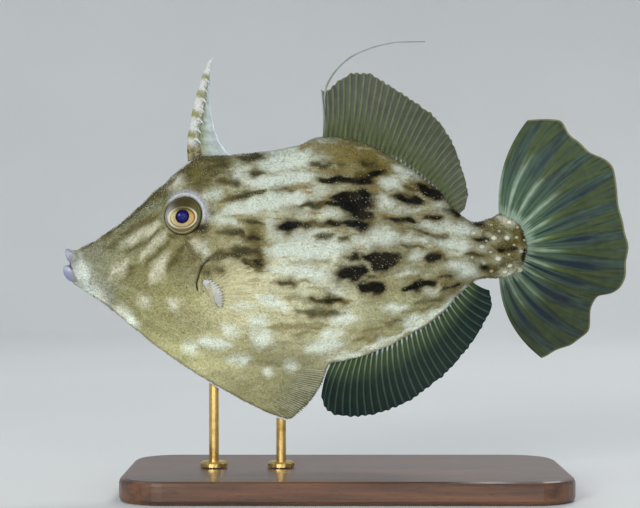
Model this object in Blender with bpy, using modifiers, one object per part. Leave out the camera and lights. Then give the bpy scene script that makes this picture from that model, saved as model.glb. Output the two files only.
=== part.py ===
"""A threadsail filefish at life size, swimming to the left, on a small display stand.

Metres, +Z up. The origin is the middle of the stand's underside. The fish faces -X, so its left side is -Y.
Outlines are side views, written as (x, z) in millimetres. Every other size is in millimetres too.
"""

import math

import bmesh
import bpy
import numpy as np
from mathutils import Matrix, Vector

MM = 0.001
GAP = 0.3  # clear space between touching nodes
ROUNDING = 1e-9

# Body, from the flat end of the snout to the round end of the tail stem
SNOUT_X, TAIL_X = -71.5, 48.2
BACK = [
    (SNOUT_X, 63.6), (-65.2, 66.8), (-57.2, 73.0), (-49.3, 80.2), (-41.3, 87.0), (-37.9, 88.7),
    (-30.7, 88.8), (-22.3, 89.7), (-13.5, 91.2), (-6.5, 93.6), (-1.5, 93.7), (6.4, 91.2), (17.0, 85.3),
    (24.3, 79.6), (29.7, 73.6), (34.0, 71.0), (38.2, 71.9), (40.6, 73.2), (44.0, 72.0), (46.6, 69.3),
    (TAIL_X, 64.7),
]
BELLY = [
    (SNOUT_X, 54.0), (-65.2, 50.1), (-57.2, 43.6), (-49.3, 37.2), (-41.3, 31.8), (-33.4, 27.0), (-25.4, 22.6),
    (-19.0, 19.7), (-15.2, 18.8), (-12.5, 20.7), (-8.2, 25.4), (-6.3, 28.6), (-5.5, 31.4), (-4.4, 33.3),
    (0.5, 34.2), (9.3, 37.1), (17.5, 41.3), (24.9, 46.3), (31.5, 53.3), (35.5, 55.9), (40.8, 56.0),
    (44.5, 57.2), (47.0, 60.4), (TAIL_X, 64.7),
]
# Lower edge of the deep trunk: below it there is only the thin belly flap
TRUNK_FLOOR = [
    (SNOUT_X, 54.2), (-65.2, 51.0), (-57.2, 45.6), (-49.3, 40.4), (-41.3, 36.6), (-33.4, 34.0), (-25.0, 32.4),
    (-15.0, 31.9), (-5.3, 33.0), (0.5, 34.5), (9.3, 37.4), (17.5, 41.6), (24.9, 46.6), (31.5, 53.6),
    (35.5, 56.2), (40.8, 56.3), (44.5, 57.5), (47.0, 60.6), (TAIL_X, 64.7),
]
HALF_WIDTH = [
    (SNOUT_X, 2.7), (-67.8, 3.5), (-62.5, 4.7), (-57.2, 5.9), (-51.9, 7.0), (-43.0, 8.7), (-34.7, 9.7),
    (-25.0, 10.1), (-15.0, 9.9), (-4.0, 9.2), (6.4, 8.0), (17.0, 6.4), (25.0, 5.0), (33.0, 3.8),
    (38.0, 3.3), (42.0, 2.8), (46.0, 2.0), (TAIL_X, 1.1),
]
KEEL_HALF = [
    (SNOUT_X, 0.9), (-60.0, 1.2), (-28.0, 1.2), (-12.0, 0.9), (0.0, 1.1), (30.0, 1.1), (42.0, 0.9),
    (TAIL_X, 0.7),
]
TRUNK_ROUNDNESS = 2.2  # higher is flatter-sided
BACK_FULLNESS, BELLY_FULLNESS = 0.6, 0.85  # lower is blunter
KEEL_BLEND = 3.0
RING_SIDE = 16  # faces from back to belly on one side
STATIONS = [(-17.0, 18), (-4.0, 12), (34.0, 12), (48.0, 9)]  # rings up to each x

# Where the whole body is parted
GILL_CUT = [
    (-24.0, 97.0), (-30.5, 76.0), (-34.9, 62.5), (-38.6, 56.4), (-39.4, 53.0), (-41.5, 43.0), (-46.5, 30.0),
]
FLAP_CUT = [(-48.0, 32.2), (-40.0, 32.5), (-26.0, 32.6), (-1.0, 32.6)]
TAIL_CUT = [(35.0, 80.0), (33.6, 64.0), (35.4, 48.0)]
CUT_REACH = 20.0
FLAP_TOP_Z = 31.0
HEAD_END_X, STEM_START_X = -38.0, 33.0

# Gill opening and nostrils, on both sides of the head
GILL_SLIT = [(-35.8, 61.0), (-37.1, 59.9), (-38.0, 58.3), (-38.6, 56.4), (-39.0, 54.6), (-38.8, 53.1)]
GILL_SLIT_WIDE, GILL_SLIT_DEEP = 0.7, 1.2
NOSTRILS = [(-51.0, 75.5), (-52.4, 75.0)]
NOSTRIL_RADIUS, NOSTRIL_DEEP = 0.36, 0.9

# Eyes: each sits tilted with the cheek, in a socket with a low raised rim
EYE_X, EYE_Z = -42.9, 72.8
EYE_RADIUS, EYE_DEPTH, EYE_SINK = 4.75, 3.1, 1.1
RIM_WIDE, RIM_DEPTH = 0.85, 2.45

# Lips: two fleshy rolls on the end of the snout, parted by the line of the mouth
UPPER_LIP = {"z": 61.6, "half": (2.6, 2.6, 2.5)}
LOWER_LIP = {"z": 57.0, "half": (3.3, 2.6, 2.7)}
LIP_CORE = {"z": 59.4, "half": (2.2, 2.45, 3.2)}
MOUTH_LINE = [(-77.0, 60.1), (-74.0, 59.8), (-72.5, 58.8), (-70.5, 58.4)]

# First dorsal spine, its two rows of barbs and the web behind it
SPINE_FRONT = [
    (-41.9, 87.0), (-42.1, 90.6), (-42.0, 93.3), (-41.5, 96.2), (-40.8, 100.2),
    (-39.9, 103.9), (-38.8, 107.6), (-37.6, 111.0), (-36.3, 113.8), (-35.2, 114.7),
]
SPINE_REAR = [
    (-38.2, 89.0), (-38.7, 92.0), (-38.7, 94.6), (-38.2, 97.5), (-37.5, 100.7),
    (-37.0, 103.9), (-36.6, 107.3), (-36.0, 110.5), (-35.5, 113.3), (-34.9, 114.4),
]
SPINE_HALF, SPINE_TIP_HALF = 1.5, 0.35
SPINE_RINGS, SPINE_SIDES = 13, 10
BARBS, BARB_LONG, BARB_RADIUS, BARB_TIP = 9, 1.0, 0.32, 0.04
BARB_FROM, BARB_TO = 0.14, 0.84  # shares of the spine's length
BARB_TAPER, BARB_VARIETY = 0.45, 0.12  # how much smaller the last is, and how much they differ
BARB_BACK, BARB_OUT = 0.78, 0.7  # each root's place, as shares of the spine's depth and width
BARB_RISE = 0.12
BARB_WAY = (0.6, 0.75, -0.45)
WEB_FRONT = [
    (-37.6, 89.3), (-38.25, 92.0), (-38.25, 94.6), (-37.75, 97.5), (-37.05, 100.7), (-36.55, 103.9),
    (-36.3, 105.8),
]
WEB_REAR = [
    (-30.7, 89.3), (-32.3, 90.5), (-33.5, 92.6), (-34.6, 95.4), (-35.4, 98.6), (-35.8, 102.0), (-35.9, 105.6),
]

# Fins: the root lies on the body, the edge is the free margin
DORSAL_ROOT_X = (-6.3, 30.2)
DORSAL_EDGE = [
    (-6.7, 106.2), (-5.3, 105.8), (-3.2, 107.6), (-0.3, 109.7), (1.9, 110.7), (5.8, 110.5), (9.0, 108.9),
    (14.3, 105.4), (19.6, 102.0), (24.9, 97.5), (28.6, 91.4), (31.0, 84.3), (32.3, 78.0), (31.3, 74.3),
]
ANAL_ROOT_X = (-3.6, 33.6)
ANAL_EDGE = [
    (-6.6, 24.6), (-5.2, 21.2), (-2.8, 19.9), (0.0, 19.3), (2.4, 19.3), (6.4, 19.8), (10.4, 20.8), (17.0, 23.8),
    (22.3, 27.6), (27.6, 32.1), (32.3, 37.6), (36.3, 43.5), (38.7, 49.5), (37.9, 53.0),
]
CAUDAL_ROOT_X = 40.6
CAUDAL_EDGE = [
    (48.2, 98.1), (52.7, 98.6), (56.7, 97.9), (60.2, 93.8), (64.7, 90.1), (71.3, 85.1), (72.1, 80.8),
    (73.1, 73.0), (75.0, 65.0), (74.5, 58.3), (73.1, 53.8), (70.5, 52.1), (67.0, 51.4), (65.2, 48.0),
    (64.4, 42.2), (60.4, 39.0), (56.7, 37.1), (51.7, 35.0),
]
PECTORAL_ROOT = [(-36.2, 54.6), (-35.6, 52.4), (-34.8, 50.4), (-33.8, 48.9)]
PECTORAL_EDGE = [
    (-27.0, 60.4), (-24.3, 59.0), (-22.4, 56.6), (-21.5, 53.6), (-21.6, 50.4), (-22.8, 47.2), (-25.0, 44.8),
    (-27.8, 43.6),
]
PECTORAL_SPREAD = math.tan(math.radians(22))

# Rays, rows of faces from root to edge, and the bow of the first and last ray as a share of their length
DORSAL = {"rays": 34, "rows": (0, 0.16, 0.34, 0.56, 0.78, 1), "bow": (-0.05, 0.12)}
ANAL = {"rays": 32, "rows": (0, 0.16, 0.34, 0.56, 0.78, 1), "bow": (-0.10, -0.14)}
CAUDAL = {"rays": 12, "rows": (0, 0.08, 0.2, 0.36, 0.52, 0.68, 0.84, 1), "bow": (0.20, -0.24), "between": 1}
PECTORAL = {"rays": 12, "rows": (0, 0.1, 0.22, 0.45, 0.72, 1), "bow": (0.06, -0.06), "root_half": 0.95}
WEB = {"rays": 8, "rows": (0, 0.5, 1), "bow": (0, 0), "root_half": 0.27, "ridge": False}
DORSAL_WAVE, ANAL_WAVE, CAUDAL_WAVE = (0.9, 1.7), (0.8, 1.4), (1.4, 0.5)  # height and number of waves
ROOT_HALF, MEMBRANE_HALF, EDGE_HALF, RAY_HALF = 0.55, 0.26, 0.2, 0.5
RAY_SHARE = 0.22  # half width of a ray as a share of the space between two rays
RAY_TIP = 0.22  # how far a ray stands past the membrane's edge

# The second dorsal ray runs on as a thread
THREAD = [
    (-5.35, 106.4), (-4.2, 109.0), (-1.8, 112.2), (1.2, 114.7), (4.6, 116.4), (8.9, 117.8), (14.3, 118.7),
    (21.0, 118.8),
]
THREAD_RADIUS, THREAD_TIP_SHARE, THREAD_POINTS = 0.34, 0.55, 19

# Stand
BASE_LONG, BASE_DEEP, BASE_HIGH = 116.0, 62.0, 6.0
BASE_CORNER, BASE_BEVEL = 12.0, 1.2
ROD_RADIUS, COLLAR_RADIUS, COLLAR_HIGH, COLLAR_BEVEL = 1.3, 3.6, 1.4, 0.5
ROD_SIDES = 20
RODS = {"stand_rod_front": -35.0, "stand_rod_rear": -17.2}

# Colour, roughness, metallic
LOOKS = {
    "head": ((0.40, 0.37, 0.20), 0.5, 0),
    "torso": ((0.62, 0.60, 0.42), 0.5, 0),
    "belly_flap": ((0.40, 0.38, 0.16), 0.5, 0),
    "tail_stem": ((0.56, 0.52, 0.30), 0.5, 0),
    "upper_lip": ((0.66, 0.68, 0.78), 0.35, 0),
    "lower_lip": ((0.64, 0.66, 0.78), 0.35, 0),
    "eye_left": ((0.62, 0.50, 0.22), 0.08, 0),
    "eye_right": ((0.62, 0.50, 0.22), 0.08, 0),
    "dorsal_spine": ((0.66, 0.68, 0.60), 0.45, 0),
    "spine_web": ((0.60, 0.68, 0.66), 0.4, 0),
    "dorsal_fin": ((0.28, 0.33, 0.17), 0.35, 0),
    "dorsal_thread": ((0.40, 0.42, 0.25), 0.4, 0),
    "caudal_fin": ((0.24, 0.28, 0.12), 0.35, 0),
    "anal_fin": ((0.07, 0.12, 0.12), 0.35, 0),
    "pectoral_fin_left": ((0.60, 0.54, 0.28), 0.35, 0),
    "pectoral_fin_right": ((0.60, 0.54, 0.28), 0.35, 0),
    "stand_base": ((0.06, 0.032, 0.018), 0.35, 0),
    "stand_rod_front": ((0.55, 0.45, 0.27), 0.3, 1),
    "stand_rod_rear": ((0.55, 0.45, 0.27), 0.3, 1),
}


def smooth_line(points, at):
    """A monotone cubic through (x, value) points, so that it never bulges past them."""
    x, y = np.array(points, float).T
    step, slope = np.diff(x), np.diff(y) / np.diff(x)
    same = slope[:-1] * slope[1:] > 0
    mean = 2 * slope[:-1] * slope[1:] / np.where(same, slope[:-1] + slope[1:], 1)
    tangent = np.concatenate([[slope[0]], np.where(same, mean, 0), [slope[-1]]])
    at = np.clip(np.asarray(at, float), x[0], x[-1])
    i = np.clip(np.searchsorted(x, at, side="right") - 1, 0, len(x) - 2)
    t = (at - x[i]) / step[i]
    return (
        y[i] * (1 + 2 * t) * (1 - t) ** 2
        + tangent[i] * step[i] * t * (1 - t) ** 2
        + y[i + 1] * t * t * (3 - 2 * t)
        + tangent[i + 1] * step[i] * t * t * (t - 1)
    )


def along(points, share):
    """Points at these shares of the length of a smooth path through (x, z) points."""
    p = np.array(points, float)
    reach = np.concatenate([[0], np.cumsum(np.hypot(*np.diff(p, axis=0).T))])
    at = np.asarray(share, float) * reach[-1]
    return np.stack([smooth_line(np.stack([reach, p[:, k]], 1), at) for k in (0, 1)], -1)


def offset(path, lift):
    """A side-view path moved sideways: up where it runs towards the tail."""
    ahead = np.gradient(path, axis=0)
    side = np.stack([-ahead[:, 1], ahead[:, 0]], 1) / np.linalg.norm(ahead, axis=1)[:, None]
    return path + side * lift


def back(x):
    return smooth_line(BACK, x)


def belly(x):
    return smooth_line(BELLY, x)


def flank(x, z):
    """Half thickness of the body at a point of its side view: a lens-shaped trunk on a thin round keel."""
    top, bottom, trunk_low = back(x), belly(x), smooth_line(TRUNK_FLOOR, x)
    keel_half = smooth_line(KEEL_HALF, x)
    height = (2 * z - top - trunk_low) / (top - trunk_low)
    fullness = np.where(height > 0, BACK_FULLNESS, BELLY_FULLNESS)
    trunk = smooth_line(HALF_WIDTH, x) * (1 - np.clip(np.abs(height), 0, 1) ** TRUNK_ROUNDNESS) ** fullness
    inside = np.clip(np.minimum(top - z, z - bottom) / keel_half, 0, 1)
    keel = keel_half * np.sqrt(1 - (1 - inside) ** 2)
    return (trunk**KEEL_BLEND + keel**KEEL_BLEND) ** (1 / KEEL_BLEND)


def on_flank(side, x, z):
    """A point of the body's surface and the direction that it faces."""
    step = 0.5
    lean_x = (flank(x + step, z) - flank(x - step, z)) / (2 * step)
    lean_z = (flank(x, z + step) - flank(x, z - step)) / (2 * step)
    return Vector((x, side * flank(x, z), z)), Vector((-lean_x, side, -lean_z)).normalized()


def clear_scene():
    for found in list(bpy.data.objects):
        bpy.data.objects.remove(found)


def collection(name):
    made = bpy.data.collections.new(name)
    bpy.context.scene.collection.children.link(made)
    return made


def look(name):
    colour, roughness, metallic = LOOKS[name]
    made = bpy.data.materials.new(name)
    made.use_nodes = True
    shader = made.node_tree.nodes["Principled BSDF"]
    shader.inputs["Base Color"].default_value = (*colour, 1.0)
    shader.inputs["Roughness"].default_value = roughness
    shader.inputs["Metallic"].default_value = metallic
    return made


def part(name, mesh, fish, smooth_angle=35):
    """A named sub-part in its own material."""
    mesh.name = name
    mesh.materials.clear()
    mesh.materials.append(look(name))
    mesh.shade_smooth()
    mesh.set_sharp_from_angle(angle=math.radians(smooth_angle))
    made = bpy.data.objects.new(name, mesh)
    fish.objects.link(made)
    return made


def cutter(name, mesh, where):
    made = bpy.data.objects.new(name, mesh)
    made.hide_render = True
    made.display_type = "WIRE"
    where.objects.link(made)
    return made


def to_mesh(shape, name="mesh"):
    made = bpy.data.meshes.new(name)
    shape.to_mesh(made)
    shape.free()
    return made


def mesh_of(points, faces):
    """A closed mesh from points in millimetres, with its faces turned outwards."""
    made = bpy.data.meshes.new("hull")
    made.from_pydata([tuple(c * MM for c in p) for p in points], [], faces)
    shape = bmesh.new()
    shape.from_mesh(made)
    bmesh.ops.recalc_face_normals(shape, faces=shape.faces)
    shape.to_mesh(made)
    shape.free()
    return made


def loft(rings):
    """A closed mesh through rings of equal count, with flat ends."""
    count = len(rings[0])
    points = [p for ring in rings for p in ring]
    faces = [
        (r * count + i, r * count + (i + 1) % count, (r + 1) * count + (i + 1) % count, (r + 1) * count + i)
        for r in range(len(rings) - 1)
        for i in range(count)
    ]
    faces += [tuple(range(count)), tuple(range((len(rings) - 1) * count, len(rings) * count))]
    return mesh_of(points, faces)


def ellipsoid(half, segments=20, rings=12):
    shape = bmesh.new()
    bmesh.ops.create_uvsphere(shape, u_segments=segments, v_segments=rings, radius=MM)
    bmesh.ops.scale(shape, vec=half, verts=shape.verts)
    return to_mesh(shape, "ellipsoid")


def place(made, centre, facing=None):
    """Sets an object down at a point in millimetres, its own Z turned to the way it faces."""
    made.location = Vector(centre) * MM
    if facing is not None:
        made.rotation_euler = facing.to_track_quat("Z", "Y").to_euler()
    return made


def wall(name, path, thick, y_range, where):
    """A thin upright wall that follows a side-view path, between two distances from the midplane."""
    line = along(path, np.linspace(0, 1, 3 * len(path)))
    near, far = offset(line, -thick / 2), offset(line, thick / 2)
    low, high = y_range
    rings = [
        [(a[0], low, a[1]), (a[0], high, a[1]), (b[0], high, b[1]), (b[0], low, b[1])]
        for a, b in zip(near, far)
    ]
    return cutter(name, loft(rings), where)


def boolean(target, group, operation):
    modifier = target.modifiers.new(operation.lower(), "BOOLEAN")
    modifier.operation = operation
    modifier.operand_type = "COLLECTION"
    modifier.collection = group
    modifier.solver = "EXACT"


def closed_surfaces(*groups, target):
    """Applies the target's modifiers, removes what they used, and gives the closed surfaces, largest first."""
    graph = bpy.context.evaluated_depsgraph_get()
    shape = bmesh.new()
    shape.from_mesh(bpy.data.meshes.new_from_object(target.evaluated_get(graph)))
    for found in [target, *(o for group in groups for o in group.objects)]:
        bpy.data.objects.remove(found)
    bmesh.ops.triangulate(shape, faces=shape.faces)
    left, pieces = set(shape.verts), []
    while left:
        piece, edge = set(), {left.pop()}
        while edge:
            piece |= edge
            edge = {e.other_vert(v) for v in edge for e in v.link_edges} - piece
        left -= piece
        pieces.append({v.index for v in piece})
    found = []
    for piece in pieces:
        one = shape.copy()
        bmesh.ops.delete(one, geom=[v for v in one.verts if v.index not in piece], context="VERTS")
        found.append((one.calc_volume(), to_mesh(one)))
    shape.free()
    return [mesh for _, mesh in sorted(found, key=lambda pair: -pair[0])]


def middle_of(mesh):
    return np.mean([v.co for v in mesh.vertices], axis=0) / MM


def body_ring(x):
    """One upright section of the body, down its left side and up its right."""
    turn = np.linspace(0, math.pi, RING_SIDE + 1)
    top, bottom = back(x), belly(x)
    z = (top + bottom) / 2 + (top - bottom) / 2 * np.cos(turn)
    y = flank(np.full_like(z, x), z)
    y[0] = y[-1] = 0
    left = [(x, -a, b) for a, b in zip(y, z)]
    right = [(x, a, b) for a, b in zip(y[-2:0:-1], z[-2:0:-1])]
    return left + right


def station_list():
    stops = [SNOUT_X]
    for end, steps in STATIONS:
        stops += list(np.linspace(stops[-1], end, steps + 1)[1:])
    return stops


def build_body(fish):
    """Lofts the whole body, sinks the eye sockets, gill slits and nostrils, and parts it into named nodes."""
    rims, cuts = collection("rims"), collection("cuts")
    whole = cutter("whole_body", loft([body_ring(x) for x in station_list()]), cuts)
    cuts.objects.unlink(whole)
    bpy.context.scene.collection.objects.link(whole)
    for side in (-1, 1):
        skin_point, facing = on_flank(side, EYE_X, EYE_Z)
        centre = skin_point - facing * EYE_SINK
        wide = EYE_RADIUS + GAP
        rim = ellipsoid((wide + RIM_WIDE, wide + RIM_WIDE, RIM_DEPTH))
        place(cutter(f"rim_{side}", rim, rims), centre, facing)
        socket = ellipsoid((wide, wide, EYE_DEPTH + GAP))
        place(cutter(f"socket_{side}", socket, cuts), centre, facing)
        out = flank(*GILL_SLIT[3])
        y_range = (side * (out - GILL_SLIT_DEEP), side * (out + 2 * GILL_SLIT_DEEP))
        wall(f"gill_slit_{side}", GILL_SLIT, GILL_SLIT_WIDE, y_range, cuts)
        for number, spot in enumerate(NOSTRILS):
            hole = ellipsoid((NOSTRIL_RADIUS, NOSTRIL_RADIUS, NOSTRIL_DEEP), 8, 4)
            place(cutter(f"nostril_{side}_{number}", hole, cuts), *on_flank(side, *spot))
    for name, path in (("gill_cut", GILL_CUT), ("flap_cut", FLAP_CUT), ("tail_cut", TAIL_CUT)):
        wall(name, path, GAP, (-CUT_REACH, CUT_REACH), cuts)
    boolean(whole, rims, "UNION")
    boolean(whole, cuts, "DIFFERENCE")
    bpy.context.view_layer.update()
    for mesh in closed_surfaces(rims, cuts, target=whole)[:4]:
        x, _, z = middle_of(mesh)
        rear_name = "tail_stem" if x > STEM_START_X else "torso"
        name = "belly_flap" if z < FLAP_TOP_Z else "head" if x < HEAD_END_X else rear_name
        part(name, mesh, fish)


def build_lips(fish):
    """Two overlapping rolls and a core between them, cut flat at the snout and parted along the mouth."""
    rolls, cuts = collection("lip_rolls"), collection("lip_cuts")
    front = SNOUT_X - GAP
    whole = cutter("whole_lips", ellipsoid(LIP_CORE["half"], 16, 10), bpy.context.scene.collection)
    place(whole, (front, 0, LIP_CORE["z"]))
    for name, roll in (("upper", UPPER_LIP), ("lower", LOWER_LIP)):
        place(cutter(name, ellipsoid(roll["half"], 16, 10), rolls), (front, 0, roll["z"]))
    block = bmesh.new()
    bmesh.ops.create_cube(block, size=CUT_REACH * MM)
    place(cutter("behind", to_mesh(block), cuts), (front + CUT_REACH / 2, 0, LIP_CORE["z"]))
    wall("mouth", MOUTH_LINE, GAP, (-CUT_REACH, CUT_REACH), cuts)
    boolean(whole, rolls, "UNION")
    boolean(whole, cuts, "DIFFERENCE")
    bpy.context.view_layer.update()
    turned = whole.matrix_world.copy()
    for mesh in closed_surfaces(rolls, cuts, target=whole)[:2]:
        mesh.transform(turned)
        part("upper_lip" if middle_of(mesh)[2] > LIP_CORE["z"] else "lower_lip", mesh, fish)


def build_eyes(fish):
    for side, word in ((-1, "left"), (1, "right")):
        skin_point, facing = on_flank(side, EYE_X, EYE_Z)
        ball = part(f"eye_{word}", ellipsoid((EYE_RADIUS, EYE_RADIUS, EYE_DEPTH)), fish)
        place(ball, skin_point - facing * EYE_SINK, facing)


def spine_shape():
    share = np.linspace(0, 1, SPINE_RINGS)
    front, rear = along(SPINE_FRONT, share), along(SPINE_REAR, share)
    turn = np.arange(SPINE_SIDES) * 2 * math.pi / SPINE_SIDES
    rings = []
    for f, r, s in zip(front, rear, share):
        middle, reach = (f + r) / 2, (f - r) / 2
        thick = SPINE_HALF + (SPINE_TIP_HALF - SPINE_HALF) * s
        rings.append([
            (middle[0] + reach[0] * math.cos(t), thick * math.sin(t), middle[1] + reach[1] * math.cos(t))
            for t in turn
        ])
    return loft(rings)


def build_spine(fish):
    """The bony spine, with two rows of small hooks that point back and down from its rear."""
    hooks = collection("barbs")
    spine = cutter("whole_spine", spine_shape(), bpy.context.scene.collection)
    for side in (-1, 1):
        for number, s in enumerate(np.linspace(BARB_FROM, BARB_TO, BARBS)):
            size = 1 - BARB_TAPER * s + BARB_VARIETY * math.sin(5 * number)
            shape = bmesh.new()
            bmesh.ops.create_cone(
                shape, cap_ends=True, segments=5, depth=BARB_LONG * size * MM,
                radius1=BARB_RADIUS * size * MM, radius2=BARB_TIP * MM,
            )
            at = (1 - BARB_BACK) * along(SPINE_FRONT, s) + BARB_BACK * along(SPINE_REAR, s)
            thick = SPINE_HALF + (SPINE_TIP_HALF - SPINE_HALF) * s
            facing = Vector((BARB_WAY[0], side * BARB_WAY[1], BARB_WAY[2])).normalized()
            root = Vector((at[0], side * thick * BARB_OUT, at[1]))
            place(cutter(f"barb_{side}_{number}", to_mesh(shape), hooks), root + facing * BARB_RISE, facing)
    boolean(spine, hooks, "UNION")
    bpy.context.view_layer.update()
    part("dorsal_spine", closed_surfaces(hooks, target=spine)[0], fish)


def ray_columns(rays, between, ridge):
    """Places across a fin, as (share, on a ray's crest), with a foot on each side of every ray."""
    space = 1 / (rays - 1)
    if not ridge:
        return [(i * space, False) for i in range(rays)]
    foot = RAY_SHARE * space
    columns = []
    for i in range(rays):
        columns += [(i * space - foot, False), (i * space, True), (i * space + foot, False)]
        columns += [(i * space + space * (k + 1) / (between + 1), False) for k in range(between)]
    return [c for c in columns if -ROUNDING <= c[0] <= 1 + ROUNDING]


def fin_mesh(root, edge, rays, rows, bow, across, root_half=ROOT_HALF, between=0, ridge=True):
    """A fin between its root line and its free edge, with rays that stand up as ridges on the membrane.

    across gives each point's distance from the midplane, from its side view, its share of the way out and its
    share along the fin.
    """
    columns = ray_columns(rays, between, ridge)
    v = np.array([c[0] for c in columns])
    crest = np.array([c[1] for c in columns])
    start, end = along(root, v), along(edge, v)
    chord = end - start
    end = end + chord / np.linalg.norm(chord, axis=1)[:, None] * (RAY_TIP * crest)[:, None]
    square = np.stack([-chord[:, 1], chord[:, 0]], 1)
    control = (start + end) / 2 + square * (bow[0] + (bow[1] - bow[0]) * v)[:, None]
    points, faces = [], []
    for side in (-1, 1):
        for u in rows:
            flat = start * (1 - u) ** 2 + 2 * control * u * (1 - u) + end * u * u
            fleshy = max(0, 1 - u / rows[2])
            membrane = MEMBRANE_HALF + (EDGE_HALF - MEMBRANE_HALF) * u
            skin = membrane + (root_half - membrane) * fleshy
            raised = max(skin, RAY_HALF + (EDGE_HALF - RAY_HALF) * u)
            half = np.where(crest, raised, skin)
            y = across(flat, u, v) + side * half
            points += [(p[0], q, p[1]) for p, q in zip(flat, y)]
    wide, tall = len(v), len(rows)
    layer = wide * tall
    for r in range(tall - 1):
        for c in range(wide - 1):
            a, b = r * wide + c, r * wide + c + 1
            d, e = a + wide, b + wide
            faces += [(a, b, e), (a, e, d)]
            faces += [(layer + a, layer + e, layer + b), (layer + a, layer + d, layer + e)]
    border = [(c, c + 1) for c in range(wide - 1)]
    border += [(layer - wide + c + 1, layer - wide + c) for c in range(wide - 1)]
    border += [(r * wide + wide - 1, r * wide + 2 * wide - 1) for r in range(tall - 1)]
    border += [((r + 1) * wide, r * wide) for r in range(tall - 1)]
    for a, b in border:
        faces += [(a, layer + a, layer + b), (a, layer + b, b)]
    return mesh_of(points, faces)


def wave(height, count):
    """A fin in the midplane that swings from side to side towards its edge."""
    return lambda flat, u, v: height * u * np.sin(2 * math.pi * count * v + 0.6)


def off_flank(side):
    """A fan that stands off the flank behind the gill slit, further out towards its edge."""

    def across(flat, u, v):
        hinge = np.mean(PECTORAL_ROOT, axis=0)
        reach = np.hypot(*(flat - hinge).T)
        lift = GAP + PECTORAL["root_half"] + reach * PECTORAL_SPREAD * min(1, u * 1.6)
        return side * (flank(flat[:, 0], flat[:, 1]) + lift)

    return across


def build_fins(fish):
    share = np.linspace(0, 1, 24)
    lift = GAP + 0.05
    x = DORSAL_ROOT_X[0] + (DORSAL_ROOT_X[1] - DORSAL_ROOT_X[0]) * share
    root = offset(np.stack([x, back(x)], 1), lift)
    part("dorsal_fin", fin_mesh(root, DORSAL_EDGE, **DORSAL, across=wave(*DORSAL_WAVE)), fish)
    x = ANAL_ROOT_X[0] + (ANAL_ROOT_X[1] - ANAL_ROOT_X[0]) * share
    root = offset(np.stack([x, belly(x)], 1), -lift)
    part("anal_fin", fin_mesh(root, ANAL_EDGE, **ANAL, across=wave(*ANAL_WAVE)), fish)
    x = CAUDAL_ROOT_X + (TAIL_X - CAUDAL_ROOT_X) * np.sin(share * math.pi / 2)
    stem = np.concatenate([np.stack([x, back(x)], 1), np.stack([x, belly(x)], 1)[-2::-1]])
    part("caudal_fin", fin_mesh(offset(stem, lift), CAUDAL_EDGE, **CAUDAL, across=wave(*CAUDAL_WAVE)), fish)
    part("spine_web", fin_mesh(WEB_FRONT, WEB_REAR, **WEB, across=wave(0, 0)), fish)
    for side, word in ((-1, "left"), (1, "right")):
        fan = fin_mesh(PECTORAL_ROOT, PECTORAL_EDGE, **PECTORAL, across=off_flank(side))
        part(f"pectoral_fin_{word}", fan, fish)


def build_thread(fish):
    line = bpy.data.curves.new("dorsal_thread", "CURVE")
    line.dimensions = "3D"
    line.bevel_depth = THREAD_RADIUS * MM
    line.bevel_resolution = 1
    line.use_fill_caps = True
    share = np.linspace(0, 1, THREAD_POINTS)
    spline = line.splines.new("POLY")
    spline.points.add(THREAD_POINTS - 1)
    for point, (x, z), s in zip(spline.points, along(THREAD, share), share):
        point.co = (x * MM, 0, z * MM, 1)
        point.radius = 1 + (THREAD_TIP_SHARE - 1) * s
    line.materials.append(look("dorsal_thread"))
    fish.objects.link(bpy.data.objects.new("dorsal_thread", line))


def build_rod(name, x, fish, cuts):
    """A turned rod with a collar at its foot, its top cut to the slope of the keel above it."""
    low, shoulder = BASE_HIGH + GAP, BASE_HIGH + GAP + COLLAR_HIGH
    across = np.linspace(x - ROD_RADIUS, x + ROD_RADIUS, 5)
    slope = np.polyfit(across, belly(across), 1)[0]
    height = np.min(belly(across) - slope * (across - x)) - GAP
    over_top = height + COLLAR_RADIUS
    profile = [
        (0, over_top), (ROD_RADIUS, over_top), (ROD_RADIUS, shoulder), (COLLAR_RADIUS - COLLAR_BEVEL, shoulder),
        (COLLAR_RADIUS, shoulder - COLLAR_BEVEL), (COLLAR_RADIUS, low), (0, low),
    ]
    mesh = bpy.data.meshes.new(name)
    edges = [(i, i + 1) for i in range(len(profile) - 1)]
    mesh.from_pydata([(r * MM, 0, z * MM) for r, z in profile], edges, [])
    rod = place(part(name, mesh, fish), (x, 0, 0))
    screw = rod.modifiers.new("turn", "SCREW")
    screw.steps = screw.render_steps = ROD_SIDES
    screw.use_merge_vertices = True
    screw.merge_threshold = 0.00001
    block = bmesh.new()
    bmesh.ops.create_cube(block, size=CUT_REACH * MM)
    bmesh.ops.translate(block, vec=(0, 0, CUT_REACH / 2 * MM), verts=block.verts)
    keel = cutter(f"{name}_top", to_mesh(block), cuts)
    place(keel, (x, 0, height))
    keel.rotation_euler = (0, -math.atan(slope), 0)
    cut = rod.modifiers.new("top", "BOOLEAN")
    cut.object = keel
    cut.solver = "EXACT"


def build_stand(fish, cuts):
    block = bmesh.new()
    bmesh.ops.create_cube(block, size=1.0)
    bmesh.ops.scale(block, vec=(BASE_LONG * MM, BASE_DEEP * MM, BASE_HIGH * MM), verts=block.verts)
    upright = [e for e in block.edges if abs(e.verts[0].co.z - e.verts[1].co.z) > GAP * MM]
    bmesh.ops.bevel(
        block, geom=upright, offset=BASE_CORNER * MM, segments=7, profile=0.5, affect="EDGES",
        offset_type="OFFSET",
    )
    base = place(part("stand_base", to_mesh(block), fish), (0, 0, BASE_HIGH / 2))
    edge = base.modifiers.new("edge", "BEVEL")
    edge.width = BASE_BEVEL * MM
    edge.segments = 2
    edge.angle_limit = math.radians(60)
    for name, x in RODS.items():
        build_rod(name, x, fish, cuts)


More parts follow.
